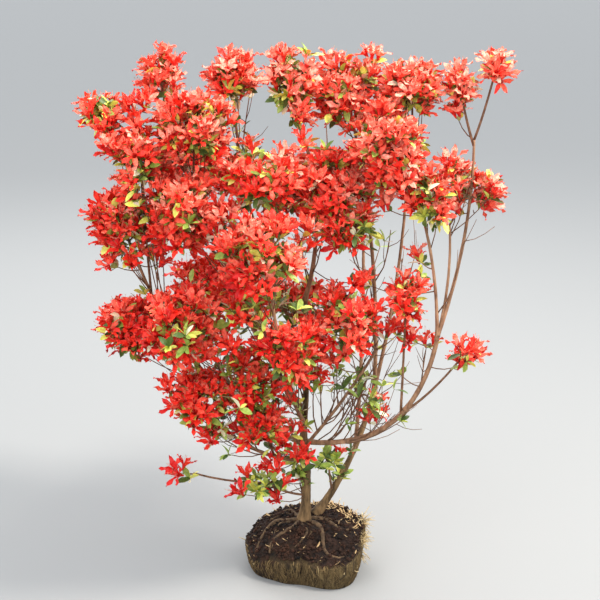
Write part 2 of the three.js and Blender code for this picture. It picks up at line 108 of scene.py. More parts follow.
# Masses of blossom: carrier and where, middle, reach, height for width, main twigs
masses = {
    "top_spire": ("left_top", 1, (-240, 28, 885), 38, 1.5, 5),
    "left_tip": ("left_top", 0.8, (-331, -10, 833), 50, 0.9, 5),
    "left_shoulder": ("left_side", 0.86, (-269, -52, 759), 66, 0.98, 5),
    "top_left": ("left_top", 0.72, (-179, -46, 805), 82, 0.92, 7),
    "left_side_mass": ("left_side", 1, (-302, -36, 646), 66, 1.13, 7),
    "left_heart": ("left_top", 0.5, (-202, -70, 676), 88, 0.9, 8),
    "left_low_mass": ("left_side", 0.55, (-295, -46, 472), 62, 0.95, 7),
    "left_front_mass": ("left_front", 1, (-193, -128, 494), 90, 0.88, 9),
    "low_left": ("left_low", 1, (-168, -96, 358), 74, 0.86, 5),
    "top_centre_left": ("centre_left", 1, (-123, 62, 879), 47, 1.15, 5),
    "top_centre": ("leader_top", 1, (-20, -4, 878), 50, 1.38, 6),
    "top_centre_right": ("right_left", 1, (76, 34, 864), 75, 0.95, 6),
    "top_right": ("arc_inner", 1, (180, -6, 873), 56, 0.98, 6),
    "top_right_tip": ("arc_outer", 1, (315, -32, 910), 35, 1.05, 4),
    "top_right_low": ("arc_outer", 0.97, (257, -24, 875), 36, 1.25, 4),
    "upper_right": ("arc_inner", 0.9, (143, -66, 777), 80, 1.06, 7),
    "right_inner_top": ("arc_inner", 0.78, (214, -70, 704), 58, 0.95, 5),
    "right_mass": ("arc_right", 1, (273, -52, 714), 61, 0.88, 5),
    "centre_top": ("leader_top", 0.5, (-68, -62, 728), 85, 0.84, 7),
    "centre_front": ("front_up", 1, (-69, -156, 629), 86, 0.82, 8),
    "centre_right_top": ("right_left", 0.7, (51, -36, 708), 84, 0.88, 7),
    "centre_right_low": ("right_left", 0.6, (77, -66, 655), 68, 0.68, 5),
    "mid_right": ("inner_right", 1, (75, -88, 497), 74, 0.98, 6),
    "right_inner_mass": ("arc_lower", 0.94, (172, -84, 531), 40, 1.32, 5),
    "centre_low": ("front_up", 0.3, (-26, -112, 448), 78, 0.92, 6),
    "centre_mid": ("front_up", 0.55, (-104, -100, 526), 72, 0.85, 5),
    "low_front": ("left_low", 0.35, (-92, -98, 396), 60, 0.95, 4),
    "low_centre": ("left_low", 0.25, (-80, -92, 316), 56, 0.9, 4),
    "right_low_spray": ("arc_lower", 0.97, (274, -94, 439), 38, 1, 4),
    "low_right_spray": ("inner_right", 0.6, (113, -70, 355), 34, 1.5, 2),
    "low_left_spray": ("main_stem", 0.5, (-198, -78, 213), 35, 1.1, 1),
    "foot_left_spray": ("main_stem", 0.3, (-73, -40, 179), 50, 0.85, 3),
    "foot_right_spray": ("right_stem", 0.2, (45, -4, 206), 40, 0.88, 2),
    "back_left_mass": ("back_left", 1, (-204, 178, 695), 86, 0.88, 6),
    "back_left_low": ("back_left", 0.62, (-178, 120, 501), 74, 0.8, 5),
    "back_centre": ("leader_top", 0.42, (-34, 138, 685), 82, 0.86, 6),
    "back_right_mass": ("back_right", 1, (122, 196, 706), 88, 0.88, 6),
    "back_right_top": ("right_right", 1, (172, 92, 760), 66, 0.95, 5),
    "back_low": ("back_right", 0.5, (-13, 124, 469), 64, 0.84, 4),
}

upward = np.array((0.0, 0.0, 1.0))
goldenTurn = math.pi * (3 - math.sqrt(5))
metre = 0.001


def unit(way):
    return way / max(np.linalg.norm(way), 1e-9)


# A repeatable run of numbers from 0 to 1.
def seededRandom(seed):
    state = ((seed + 1) * 2654435761) & 0xFFFFFFFF

    def draw():
        nonlocal state
        state = (state * 1664525 + 1013904223) & 0xFFFFFFFF
        return state / 4294967296

    return draw


class Line:
    def __init__(self, points):
        self.points = np.array(points, float)
        steps = np.linalg.norm(np.diff(self.points, axis=0), axis=1)
        self.run = np.concatenate([[0], np.cumsum(steps)])
        self.length = self.run[-1]

    def at(self, share):
        return np.array([np.interp(share * self.length, self.run, self.points[:, k]) for k in range(3)])

    def way(self, share):
        return unit(self.at(min(1, share + 0.01)) - self.at(max(0, share - 0.01)))

    def stations(self, count):
        return np.array([self.at(share) for share in np.linspace(0, 1, count)])


def bentLine(foot, tip, bow, divisions=60):
    foot, tip, bow = (np.array(value, float) for value in (foot, tip, bow))
    turn = (foot + tip) / 2 + 2 * bow
    share = np.linspace(0, 1, divisions + 1)[:, None]
    return Line((1 - share) ** 2 * foot + 2 * share * (1 - share) * turn + share**2 * tip)


def soilTop(x, y):
    edge = ball["width"] / 2
    rim = ball["rimHeight"] + (ball["rimRight"] * x + ball["rimBack"] * y) / edge
    fall = (math.hypot(x, y) - ball["plateauRadius"]) / (edge - ball["plateauRadius"])
    return ball["soilHeight"] + (rim - ball["soilHeight"]) * min(1, max(0, fall))


def wallRadius(bearing):
    corner = ball["corner"]
    off = (math.remainder(bearing - corner["bearing"], 2 * math.pi)) / corner["spread"]
    share = ball["wallShare"] + corner["height"] * math.exp(-off * off)
    share += sum(height * math.sin(waves * bearing + phase) for waves, height, phase in ball["lumps"])
    return ball["width"] / 2 * share


# Many small things of one kind, kept as arrays until they are joined in one mesh.
class Heap:
    def __init__(self):
        self.points, self.faces, self.count = [], [], 0

    def add(self, shape, place=(0, 0, 0), turn=None, size=1.0):
        points, faces = shape
        moved = points * size if turn is None else (points * size) @ turn.T
        self.points.append(moved + np.asarray(place))
        self.faces.append(faces + self.count)
        self.count += len(points)


def makePiece(name, heap, material, slot, nodes):
    points = np.concatenate(heap.points).astype(np.float32) * metre
    faces = np.concatenate(heap.faces).astype(np.int32)
    mesh = bpy.data.meshes.new(name)
    mesh.vertices.add(len(points))
    mesh.vertices.foreach_set("co", points.ravel())
    mesh.loops.add(faces.size)
    mesh.loops.foreach_set("vertex_index", faces.ravel())
    mesh.polygons.add(len(faces))
    mesh.polygons.foreach_set("loop_start", np.arange(0, faces.size, 3, dtype=np.int32))
    mesh.update(calc_edges=True)
    mesh.validate()
    mesh.shade_smooth()
    dressPiece(name, mesh, material, slot, nodes)


def meshOf(bm, name):
    mesh = bpy.data.meshes.new(name)
    bm.to_mesh(mesh)
    bm.free()
    mesh.shade_smooth()
    return mesh


def dressPiece(name, mesh, material, slot, nodes):
    mesh.materials.append(material)
    piece = addObject(name, mesh)
    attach(piece, "root")
    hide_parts(*nodes)
    triangles = sum(len(face.vertices) - 2 for face in mesh.polygons)
    print(f"{name}: {triangles} triangles")


# The three axes of a thing that faces one way, turned about it.
def axesOf(facing, spin):
    facing = unit(facing)
    side = np.cross(facing, upward)
    side = unit(side) if np.linalg.norm(side) > 0.01 else np.array((1.0, 0, 0))
    across = side * math.cos(spin) + np.cross(facing, side) * math.sin(spin)
    return np.column_stack([across, np.cross(facing, across), facing])


# Faces between the rings of a tube.
def ringFaces(rings, sides):
    faces = []
    for row in range(rings - 1):
        for k in range(sides):
            a, b = row * sides + k, row * sides + (k + 1) % sides
            faces += [(a, b, b + sides), (a, b + sides, a + sides)]
    return faces


# A tapered strand of a few sides through some points, closed at both ends.
def strandShape(points, radii, sides):
    points, radii = np.asarray(points, float), np.asarray(radii, float)
    ways = np.gradient(points, axis=0)
    ways /= np.maximum(np.linalg.norm(ways, axis=1), 1e-9)[:, None]
    spare = np.eye(3)[np.argmin(np.abs(points[-1] - points[0]))]
    across = np.cross(ways, spare)
    across /= np.linalg.norm(across, axis=1)[:, None]
    upright = np.cross(ways, across)
    turns = np.arange(sides) * 2 * math.pi / sides
    ring = across[:, None] * np.cos(turns)[None, :, None] + upright[:, None] * np.sin(turns)[None, :, None]
    corners = (points[:, None] + ring * radii[:, None, None]).reshape(-1, 3)
    faces, last = ringFaces(len(points), sides), (len(points) - 1) * sides
    for k in range(1, sides - 1):
        faces += [(0, k + 1, k), (last, last + k, last + k + 1)]
    return corners, np.array(faces)


def gridFaces(rows, columns):
    faces = []
    for row in range(rows - 1):
        for k in range(columns - 1):
            a = row * columns + k
            faces += [(a, a + 1, a + columns + 1), (a, a + columns + 1, a + columns)]
    return np.array(faces)


# A shader node with its settings and the values of its own inputs.
def addNode(nodes, kind, values=None, **settings):
    node = nodes.new("ShaderNode" + kind)
    for name, value in settings.items():
        setattr(node, name, value)
    for socket, value in (values or {}).items():
        node.inputs[socket].default_value = value
    return node


def linkAll(tree, rows):
    for source, output, target, socket in rows:
        tree.links.new(source.outputs[output], target.inputs[socket])


# The shader group that every finish shares: two tones mixed in patches, and the patches themselves.
def mottleGroup():
    group = bpy.data.node_groups.new("mottle", "ShaderNodeTree")
    inputs = (
        ("Dark", "Color", (0, 0, 0, 1)),
        ("Light", "Color", (1, 1, 1, 1)),
        ("Scale", "Float", 40.0),
        ("Stretch", "Vector", (1.0, 1.0, 1.0)),
        ("Contrast", "Float", 1.0),
    )
    for label, kind, value in inputs:
        socket = group.interface.new_socket(label, in_out="INPUT", socket_type="NodeSocket" + kind)
        socket.default_value = value
    for label, kind in (("Color", "Color"), ("Mask", "Float")):
        group.interface.new_socket(label, in_out="OUTPUT", socket_type="NodeSocket" + kind)
    nodes = group.nodes
    given, made = nodes.new("NodeGroupInput"), nodes.new("NodeGroupOutput")
    place = addNode(nodes, "TexCoord")
    stretch = addNode(nodes, "VectorMath", operation="MULTIPLY")
    spots = addNode(nodes, "TexNoise", {"Detail": 5, "Roughness": 0.62})
    centre = addNode(nodes, "Math", {1: 0.5}, operation="SUBTRACT")
    strong = addNode(nodes, "Math", {2: 0.5}, operation="MULTIPLY_ADD", use_clamp=True)
    blend = addNode(nodes, "Mix", data_type="RGBA")
    rows = (
        (place, "Object", stretch, 0),
        (given, "Stretch", stretch, 1),
        (stretch, 0, spots, "Vector"),
        (given, "Scale", spots, "Scale"),
        (spots, "Fac", centre, 0),
        (centre, 0, strong, 0),
        (given, "Contrast", strong, 1),
        (strong, 0, blend, "Factor"),
        (given, "Dark", blend, "A"),
        (given, "Light", blend, "B"),
        (blend, "Result", made, "Color"),
        (strong, 0, made, "Mask"),
    )
    linkAll(group, rows)
    return group


mottle = mottleGroup()
finishGloss = 0.3


def toLinear(red, green, blue):
    shares = [value / 255 for value in (red, green, blue)]
    return tuple(s / 12.92 if s <= 0.04045 else ((s + 0.055) / 1.055) ** 2.4 for s in shares) + (1,)


def addPatch(nodes, dark, light, scale, stretch, contrast):
    values = {"Dark": toLinear(*dark), "Light": toLinear(*light)}
    values |= {"Scale": scale, "Stretch": stretch, "Contrast": contrast}
    return addNode(nodes, "Group", values, node_tree=mottle)


def newMaterial(name, roughness):
    material = bpy.data.materials.new(name)
    material.use_nodes = True
    shader = material.node_tree.nodes["Principled BSDF"]
    shader.inputs["Roughness"].default_value = roughness
    return material, shader


# A finish of two tones in irregular patches, with a little relief from the same patches.
def makeFinish(
    name, dark, light, scale, contrast=2.2, stretch=(1, 1, 1), roughness=0.6, bump=0.3, depth=0.0004
):
    material, shader = newMaterial(name, roughness)
    nodes = material.node_tree.nodes
    shader.inputs["Specular IOR Level"].default_value = finishGloss
    patch = addPatch(nodes, dark, light, scale, stretch, contrast)
    relief = addNode(nodes, "Bump", {"Strength": bump, "Distance": depth})
    rows = (
        (patch, "Color", shader, "Base Color"),
        (patch, "Mask", relief, "Height"),
        (relief, "Normal", shader, "Normal"),
    )
    linkAll(material.node_tree, rows)
    return material


print("finishes ready")

# Bark of the stems and boughs: sides and rings by size, and the height of its ridges and knots
bark = {
    "sidesPerRadius": 1.6, "leastSides": 10, "ringLength": 3.2, "ridge": 0.075, "flakes": 0.05,
    "knotSpacing": 55, "knotHeight": 0.22, "collar": 0.45,
}


# A straight cylinder is cut in rings, bent along a line and pushed out in ridges, flakes and knots.
def addBarkTube(joined, line, radiusAt, sides, seed, settings):
    bm = bmesh.new()
    rings = max(6, round(line.length / settings["ringLength"]))
    made = bmesh.ops.create_cone(bm, cap_ends=True, segments=sides, radius1=1, radius2=1, depth=1)["verts"]
    long = {e for v in made for e in v.link_edges if abs(e.verts[0].co.z - e.verts[1].co.z) > 0.5}
    bmesh.ops.subdivide_edges(bm, edges=list(long), cuts=rings - 1, use_grid_fill=True)
    pick = np.random.default_rng(seed)
    knots = [
        (pick.uniform(0.08, 0.95) * line.length, pick.uniform(-math.pi, math.pi), pick.uniform(0.4, 1))
        for _ in range(int(line.length / settings["knotSpacing"]))
    ]
    middle, reference = line.at(0.5), line.points[-1] - line.points[0]
    side = np.cross(reference, middle - line.points[0])
    side = unit(side) if np.linalg.norm(side) > 1 else unit(np.cross(reference, (0.3, 1, 0.1)))
    frames = {}
    for v in bm.verts:
        share = v.co.z + 0.5
        level = round(share * rings)
        if level not in frames:
            way = line.way(level / rings)
            across = unit(side - way * np.dot(side, way))
            frames[level] = (line.at(level / rings), across, np.cross(way, across), radiusAt(level / rings))
        centre, across, upright, radius = frames[level]
        turn = math.atan2(v.co.y, v.co.x)
        run = share * line.length
        round3 = Vector((math.cos(turn), math.sin(turn), 0))
        ridge = noise.noise(round3 * 2.6 + Vector((seed, 0, run / 26)))
        flake = noise.noise(round3 * 5 + Vector((0, seed, run / 7)))
        swell = sum(
            size * math.exp(-((run - place) ** 2) / 22) * max(0, math.cos(turn - bearing)) ** 2
            for place, bearing, size in knots
        )
        rough = settings["ridge"] * ridge * 2 + settings["flakes"] * flake
        radius *= 1 + rough + settings["knotHeight"] * swell
        v.co = Vector(centre + radius * (across * math.cos(turn) + upright * math.sin(turn))) * metre
    tube = meshOf(bm, "tube")
    joined.from_mesh(tube)
    bpy.data.meshes.remove(tube)


lineOf = {}
for limbName, limb in limbs.items():
    foot = lineOf[limb["on"]].at(limb["at"]) if limb["on"] else limb["at"]
    lineOf[limbName] = bentLine(foot, limb["tip"], limb["bow"])


def limbRadius(limb, line):
    footRadius, tipRadius = limb["radii"]

    def radiusAt(share):
        radius = footRadius + (tipRadius - footRadius) * share
        if not limb["on"]:
            return radius + rootFlare["spread"] * math.exp(-share / rootFlare["fade"])
        return radius * (1 + bark["collar"] * math.exp(-share * line.length / (2.2 * footRadius)))

    return radiusAt


def growBark(names, pieceName, material):
    bm = bmesh.new()
    for name in names:
        limb, line = limbs[name], lineOf[name]
        sides = max(bark["leastSides"], round(bark["sidesPerRadius"] * limb["radii"][0] + 8))
        addBarkTube(bm, line, limbRadius(limb, line), sides, list(limbs).index(name) + 3, bark)
    bmesh.ops.recalc_face_normals(bm, faces=bm.faces)
    dressPiece(pieceName, meshOf(bm, pieceName), material, "bark", names)


stems = ["main_stem", "right_stem", "leader"]
stemLook = {"scale": 80, "contrast": 2.8, "stretch": (1, 1, 0.28), "roughness": 0.85, "bump": 0.9}
boughLook = {"scale": 110, "stretch": (1, 1, 0.35), "roughness": 0.82, "bump": 0.6, "depth": 0.0008}
stemBark = makeFinish("stem_bark", (54, 40, 25), (148, 117, 79), **stemLook, depth=0.0014)
growBark(stems, "stem_bark_relief", stemBark)
boughs = [name for name in limbs if name not in stems]
# The boughs' bark is lighter and warmer than the stems' as painted sunlight
growBark(boughs, "bough_bark_relief", makeFinish("bough_bark_painted_sunlight", (92, 64, 46), (182, 140, 106), **boughLook))
print("bark grown")

# One azalea flower faces +Z with its throat at the origin: five lobes spread from a short tube.
flower = {
    "kinds": 10, "sizes": (0.96, 1.28), "tube": 10, "tubeFoot": 1.3, "throat": 4.4, "lobeLength": 18.5,
    "lobeWidth": 8.6, "across": 5,
    "outline": [(0, 0.62), (0.3, 0.84), (0.58, 0.92), (0.82, 0.56), (1, 0.04)],
    "openness": (0.56, 0.38, 0.24, 0.48, 0.12, 0.7, 0.32, 0.44, 0.86, 0.18), "wave": (1.8, 3.6),
    "stamens": 3, "stamenLength": (13, 19), "stamenRadius": 0.28, "grain": 1.1,
}


def lobeShape(openness, turn, pick):
    openness *= pick.uniform(0.86, 1.14)
    first, last = math.radians(22 + 22 * openness), math.radians(48 + 62 * openness)
    length = flower["lobeLength"] * pick.uniform(0.93, 1.07)
    wave, phase, lean = pick.uniform(*flower["wave"]), pick.uniform(0, 6.28), pick.uniform(-0.14, 0.14)
    radial = np.array((math.cos(turn), math.sin(turn), 0))
    side = np.array((-math.sin(turn), math.cos(turn), 0))
    out, rise, before = flower["throat"], 0.0, 0.0
    rows = []
    for share, width in flower["outline"]:
        angle = first + (last - first) * share
        step = (share - before) * length
        middle = first + (last - first) * (share + before) / 2
        out, rise, before = out + step * math.sin(middle), rise + step * math.cos(middle), share
        front = -math.cos(angle) * radial + math.sin(angle) * upward
        half = flower["lobeWidth"] / 2 * width
        for across in np.linspace(-1, 1, flower["across"]):
            if share == 0:
                bearing = turn + across * math.pi / 5
                rows.append((out * math.cos(bearing), out * math.sin(bearing), 0))
                continue
            cup = (0.26 - 0.5 * share) * half * across * across
            ripple = wave * math.sin(9 * share + phase + 2 * across) * across * across
            sway = lean * length * share * share
            rows.append(radial * out + upward * rise + side * (across * half + sway) + front * (cup + ripple))
    return np.array(rows, float), gridFaces(len(flower["outline"]), flower["across"])


def joinShapes(shapes):
    heap = Heap()
    for shape in shapes:
        heap.add(shape)
    return np.concatenate(heap.points), np.concatenate(heap.faces)


def tubeShape():
    sides, rows = 8, []
    for radius, rise in ((flower["tubeFoot"], -flower["tube"]), (2.4, -4.6), (flower["throat"], 0)):
        for k in range(sides):
            bearing = 2 * math.pi * k / sides
            rows.append((radius * math.cos(bearing), radius * math.sin(bearing), rise))
    return np.array(rows, float), np.array(ringFaces(3, sides))


# A grain at the end of a stamen, four faces
grainCorners = np.array([(0, 0, 1), (0.54, 0, -1), (-0.3, 0.48, -1), (-0.3, -0.48, -1)])
grainFaces = np.array([(0, 1, 2), (0, 2, 3), (0, 3, 1), (1, 3, 2)])


def flowerKind(number):
    pick = np.random.default_rng(100 + number)
    openness = flower["openness"][number]
    lobes = [lobeShape(openness, 2 * math.pi * k / 5 + pick.uniform(-0.07, 0.07), pick) for k in range(5)]
    stamens, anthers = [], []
    for k in range(flower["stamens"] + 1):
        bearing = 2 * math.pi * k / flower["stamens"] + pick.uniform(-0.5, 0.5)
        length = pick.uniform(*flower["stamenLength"]) + (5 if k == flower["stamens"] else 0)
        lean = pick.uniform(0.12, 0.42)
        way = np.array((math.cos(bearing) * lean, math.sin(bearing) * lean, 1))
        foot = np.array((math.cos(bearing), math.sin(bearing), -4.0))
        tip = foot + way * length
        stamens.append(strandShape([foot, tip], [flower["stamenRadius"]] * 2, 3))
        anthers.append((grainCorners * flower["grain"] + tip, grainFaces))
    return {"lobes": lobes, "stamens": joinShapes(stamens), "anthers": joinShapes(anthers)}


flowerKinds = [flowerKind(number) for number in range(flower["kinds"])]
throat = tubeShape()
print("flower kinds made")

# A leaf grows along +Z from its foot with its face to +Y: an outline of five rows, folded along its rib.
leaf = {
    "length": (14, 29), "width": 0.42,
    "outline": [(0, 0.07), (0.28, 0.72), (0.58, 1), (0.84, 0.66), (1, 0.04)], "fold": 0.3,
    "curl": (0.05, 0.32), "kinds": 6,
}


def leafKind(number):
    pick = np.random.default_rng(300 + number)
    curl, fold, rows = pick.uniform(*leaf["curl"]), leaf["fold"] * pick.uniform(0.4, 1.4), []
    for share, width in leaf["outline"]:
        half = leaf["width"] / 2 * width
        for across in (-1, 0, 1):
            rows.append((across * half, abs(across) * half * fold - curl * share * share, share))
    return np.array(rows, float), gridFaces(len(leaf["outline"]), 3)


leafKinds = [leafKind(number) for number in range(leaf["kinds"])]

# How a mass grows: the rule of the solids, then finer twigs of the same rule between its main ones
stem = {"footRadius": 2.4, "tipRadius": 1.7, "short": 0.2, "sag": 0.06}
twig = {"radii": (1.4, 1), "sag": 0.05}
truss = {
    "widthPerReach": 1.1, "leastWidth": 42, "mostWidth": 76, "spacing": 0.7, "sizes": (1, 0.8, 0.62),
    "seat": 0.17, "offCentre": 0.12, "back": 11,
}
triesParts = ("count", "stride", "capHeight", "outer", "inner", "rise")
tries = dict(zip(triesParts, (90, 37, 1.45, (0.88, 0.08), (0.5, 0.3), 0.5)))
finerTries = dict(zip(triesParts, (340, 97, 1.78, (0.64, 0.34), (0.25, 0.45), 0.75)))
cellGap = 0.6
tierShape = 3
finer = {
    "perTip": 4.6, "spacing": 18, "radii": (0.95, 0.65), "width": 34, "lumps": 0.5, "underStems": 0.1,
    "underBack": (0.04, 0.2), "rosettes": 0.24, "mainFlowers": (4, 8), "fineFlowers": (3, 6),
    "spread": (0.3, 1.35), "tilt": 0.3, "flowerRise": 0.9, "flowerSpacing": 12.4, "limbSpacing": 7,
    "ragged": 34, "dentSize": 25, "dentDepth": 0.25, "dentSwing": 1.4, "dentChance": 0.2, "boxGap": 9,
    "edgeSlack": 5.5, "mainWhorl": (6, 10), "fineWhorl": (5, 9), "bearAt": (0.45, 0.6, 0.75, 0.9),
    "climb": 0.6, "turn": 0.25, "sag": 0.08, "shortest": 6, "budChance": 0.2, "behind": None,
    # Shares of the leaf tints, the last of them pale leaves with a painted highlight
    "tones": (0.34, 0.17, 0.33, 0.16), "leafyTones": (0.34, 0.12, 0.44, 0.1), "leafSide": (0, 0, 0),
    "leafCone": 0.4, "shape": (1, 1, 1), "pedicel": 7, "leaves": (5, 10),
}

# Masses that grow thinner or leafier than the rest
spray = {
    "perTip": 2.6, "rosettes": 0.75, "mainFlowers": (1, 3), "fineFlowers": (1, 2),
    "tones": (0.5, 0.24, 0.22, 0.04), "leafyTones": (0.52, 0.26, 0.2, 0.02),
}
tipHabit = {"mainFlowers": (3, 6), "fineFlowers": (2, 4), "underStems": 0}
habits = {
    "left_tip": {**tipHabit, "perTip": 3, "leafSide": (0.75, 0, 0.66), "fineFlowers": (1, 3)},
    "top_spire": {
        "perTip": 3, "rosettes": 0, "leaves": (1, 3), "underStems": 0, "flowerRise": 2, "spread": (0.2, 0.9)
    },
    "top_centre_left": {"perTip": 3.2, "flowerRise": 1.2},
    "top_centre": {"perTip": 4, "rosettes": 0.25, "leafSide": (0.4, 0, 0.92), "leafCone": 0.9},
    "top_right_tip": {**tipHabit, "perTip": 2, "leaves": (2, 5)},
    "top_right_low": {**tipHabit, "perTip": 2.2},
    "left_shoulder": {"perTip": 6.5, "shape": (1, 1, 1.1)},
    "right_mass": {"behind": "arc_outer"},
    "right_inner_top": {"behind": "arc_outer"},
    "upper_right": {"perTip": 5.4, "shape": (0.74, 1, 1.15)},
    "right_low_spray": {
        "perTip": 0.8, "mainFlowers": (2, 5), "fineFlowers": (1, 3), "leaves": (1, 4), "underStems": 0
    },
    "right_inner_mass": {"perTip": 1.6, "rosettes": 0.4, "mainFlowers": (2, 5), "underStems": 0},
    "centre_right_low": {"rosettes": 0.4, "mainFlowers": (3, 6)},
    "left_low_mass": {"perTip": 3.4},
    "low_front": {"perTip": 4.6, "rosettes": 0.3},
    "low_centre": {"perTip": 4, "rosettes": 0.26},
    "mid_right": {"perTip": 3.8, "rosettes": 0.3, "leafSide": (0, -0.45, 0.9), "leafCone": 0.86},
    "low_right_spray": {**spray, "perTip": 0.5},
    "low_left_spray": {
        **spray, "perTip": 1, "rosettes": 1, "mainFlowers": (3, 4), "leaves": (0, 2), "flowerRise": 0.2
    },
    "foot_left_spray": {
        **spray, "perTip": 3.4, "rosettes": 0.7, "mainFlowers": (1, 2), "shape": (1.35, 1, 0.9)
    },
    "foot_right_spray": {**spray, "perTip": 2.4, "rosettes": 0.85, "mainFlowers": (1, 2)},
}
massNames = list(masses)
habitOf = [{**finer, **habits.get(name, {})} for name in massNames]
habitOf.append({**finer, "leaves": (2, 5), "spread": (0.2, 1.2)})
loose = -1
# The way of a painted sun, high at the right and behind, that the petals' tints are dealt by
paintedSun = np.array((0.5, 0.22, 0.84))

middles = np.array([mass[2] for mass in masses.values()], float)
reaches = np.array([mass[3] for mass in masses.values()], float)
talls = np.array([mass[4] for mass in masses.values()], float)
limbPoints = np.concatenate([line.stations(max(6, int(line.length / 9))) for line in lineOf.values()])
lowEdge, highEdge = (np.array(corner) / metre for corner in cadBox)


def inSpace(k, point, slack=0.0):
    if k == loose:
        return True
    off = np.abs(point - middles[k]) / (reaches[k] + slack)
    if math.hypot(off[0], off[1]) ** tierShape + (off[2] / talls[k]) ** tierShape > 1:
        return False
    powers = np.sum((point - middles) ** 2, axis=1) - reaches**2
    gaps = 2 * (cellGap - slack) * np.linalg.norm(middles - middles[k], axis=1)
    beaten = powers[k] + gaps >= powers
    beaten[k] = False
    return not beaten.any()


def stemLine(k, mass):
    carrier, share, _, reach, _, _ = mass
    foot = lineOf[carrier].at(share)
    way = middles[k] - foot
    length = np.linalg.norm(way) - stem["short"] * reach
    return bentLine(foot, foot + unit(way) * length, (0, 0, -stem["sag"] * length), 24)


# The places where the twigs of a mass may end, even all round its middle and taken in a mixed order.
def triesOf(k, mass, line, seed, width, tries):
    random = seededRandom(seed)
    grain = np.array(Vector(upward).rotation_difference(Vector(line.way(1))).to_matrix())
    phase = random() * 2 * math.pi
    span = math.sqrt(mass[3] ** 2 - (width / 2) ** 2)
    for step in range(tries["count"]):
        spot = (step * tries["stride"]) % tries["count"]
        height = 1 - tries["capHeight"] * (spot + random()) / tries["count"]
        around = phase + spot * goldenTurn
        ring = math.sqrt(max(0, 1 - height * height))
        out = grain @ np.array((ring * math.cos(around), ring * math.sin(around), height))
        start, spread = tries["outer"] if step < tries["count"] / 2 else tries["inner"]
        depth = start + spread * random()
        back = mass[3] * (0.04 + 0.34 * (1 - height)) / line.length
        yield {
            "foot": line.at(min(0.98, max(0.3, 1 - back))),
            "tip": middles[k] + out * span * depth * np.array((1, 1, mass[4])),
            "out": out,
            "facing": unit(out + tries["rise"] * upward),
        }


# The last leaf tint is a painted highlight: pale cream leaves dealt out by chance
leafTints = ["leafMid", "leafDark", "leafYoung", "leafPaintedHighlight"]
heapNames = ["twigs", "fineTwigs", "scarlet", "coral_painted_light", "salmon_painted_highlight", "crimson_painted_shade", "throats", "stamens"]
heaps = {name: Heap() for name in heapNames + ["anthers", "calyces", "buds"] + leafTints}
flowerPlaces = []


def addLeaf(foot, way, length, pick, kind):
    turn = axesOf(way, 0)
    side, face = turn[:, 0], turn[:, 1]
    if face[2] < 0:
        side, face = -side, -face
    roll = pick.uniform(-1.1, 1.1)
    across = side * math.cos(roll) + face * math.sin(roll)
    axes = np.column_stack([across, np.cross(unit(way), across), unit(way)])
    heaps[kind].add(leafKinds[pick.integers(leaf["kinds"])], foot, axes, length)


# How pale a flower's tints are, as painted light and shade: by its side to the painted sun, its height, how
# far right it stands, and chance
paintedLightAndChanceWeights = {"paintedSun": 0.5, "high": 0.5, "aside": 0.14, "chance": 0.38, "lobeChance": 0.34}
paintedLightSpan = {"level": 560, "height": 400, "width": 300}
# Salmon is a painted highlight, coral painted light, scarlet the petals' own red and crimson painted shade
paintedTintSteps = ((0.77, "salmon_painted_highlight"), (0.28, "coral_painted_light"), (-0.3, "scarlet"))


def paintedLightAndChanceOf(facing, place, pick):
    high, aside = (place[2] - paintedLightSpan["level"]) / paintedLightSpan["height"], place[0] / paintedLightSpan["width"]
    lit = paintedLightAndChanceWeights["paintedSun"] * facing @ paintedSun + paintedLightAndChanceWeights["high"] * high + paintedLightAndChanceWeights["aside"] * aside
    return lit + pick.uniform(-paintedLightAndChanceWeights["chance"], paintedLightAndChanceWeights["chance"])


def paintedTintOf(paintedLightAndChance, pick):
    paintedLightAndChance += pick.uniform(-paintedLightAndChanceWeights["lobeChance"], paintedLightAndChanceWeights["lobeChance"])
    return next((name for step, name in paintedTintSteps if paintedLightAndChance > step), "crimson_painted_shade")


# Openings in the crown seen from the front, in a plane before the stems: across, height and radius
viewer = np.array(view["place"]) / metre
frontView = {"plane": -60, "slope": 0.29, "beside": 22, "before": 4}
openPlaces = np.array((
    (-244, 945, 15), (-268, 878, 15), (-142, 932, 12), (-57, 868, 23), (-67, 839, 27), (-38, 854, 20),
    (-104, 781, 17), (-68, 774, 20), (-320, 757, 18), (39, 800, 23), (65, 784, 15), (280, 913, 15),
    (318, 748, 20), (335, 728, 13), (184, 839, 17), (202, 802, 15), (114, 640, 23), (134, 660, 17),
    (194, 660, 15), (241, 654, 15), (-6, 557, 17), (32, 566, 15), (-31, 494, 22), (220, 522, 25),
    (233, 478, 17), (-327, 429, 15), (-297, 419, 15), (-363, 469, 13), (-241, 415, 18), (-137, 267, 17),
    (63, 460, 15), (242, 442, 13), (297, 404, 17), (-111, 813, 15), (-235, 296, 15), (62, 578, 20),
    (28, 588, 17), (-233, 554, 20), (-275, 548, 18),
), float)


def inOpening(place):
    depth = (place[1] - viewer[1]) / (frontView["plane"] - viewer[1])
    across, high = viewer[0] + (place[0] - viewer[0]) / depth, viewer[2] + (place[2] - viewer[2]) / depth
    return np.any(np.hypot(openPlaces[:, 0] - across, openPlaces[:, 1] - high) < openPlaces[:, 2])


# Whether a flower would hang in front of a limb that grows past its mass on the near side
def hidesLimb(limbName, place):
    near = lineOf[limbName].points
    rise = near[:, 2] - place[2] + frontView["slope"] * (near[:, 1] - place[1])
    beside = np.hypot(near[:, 0] - place[0], rise)
    behind = near[np.argmin(beside), 1] + frontView["before"]
    return beside.min() < frontView["beside"] and place[1] < behind


def tooNear(point, others, gap):
    return len(others) > 0 and np.min(np.linalg.norm(np.asarray(others) - point, axis=1)) < gap


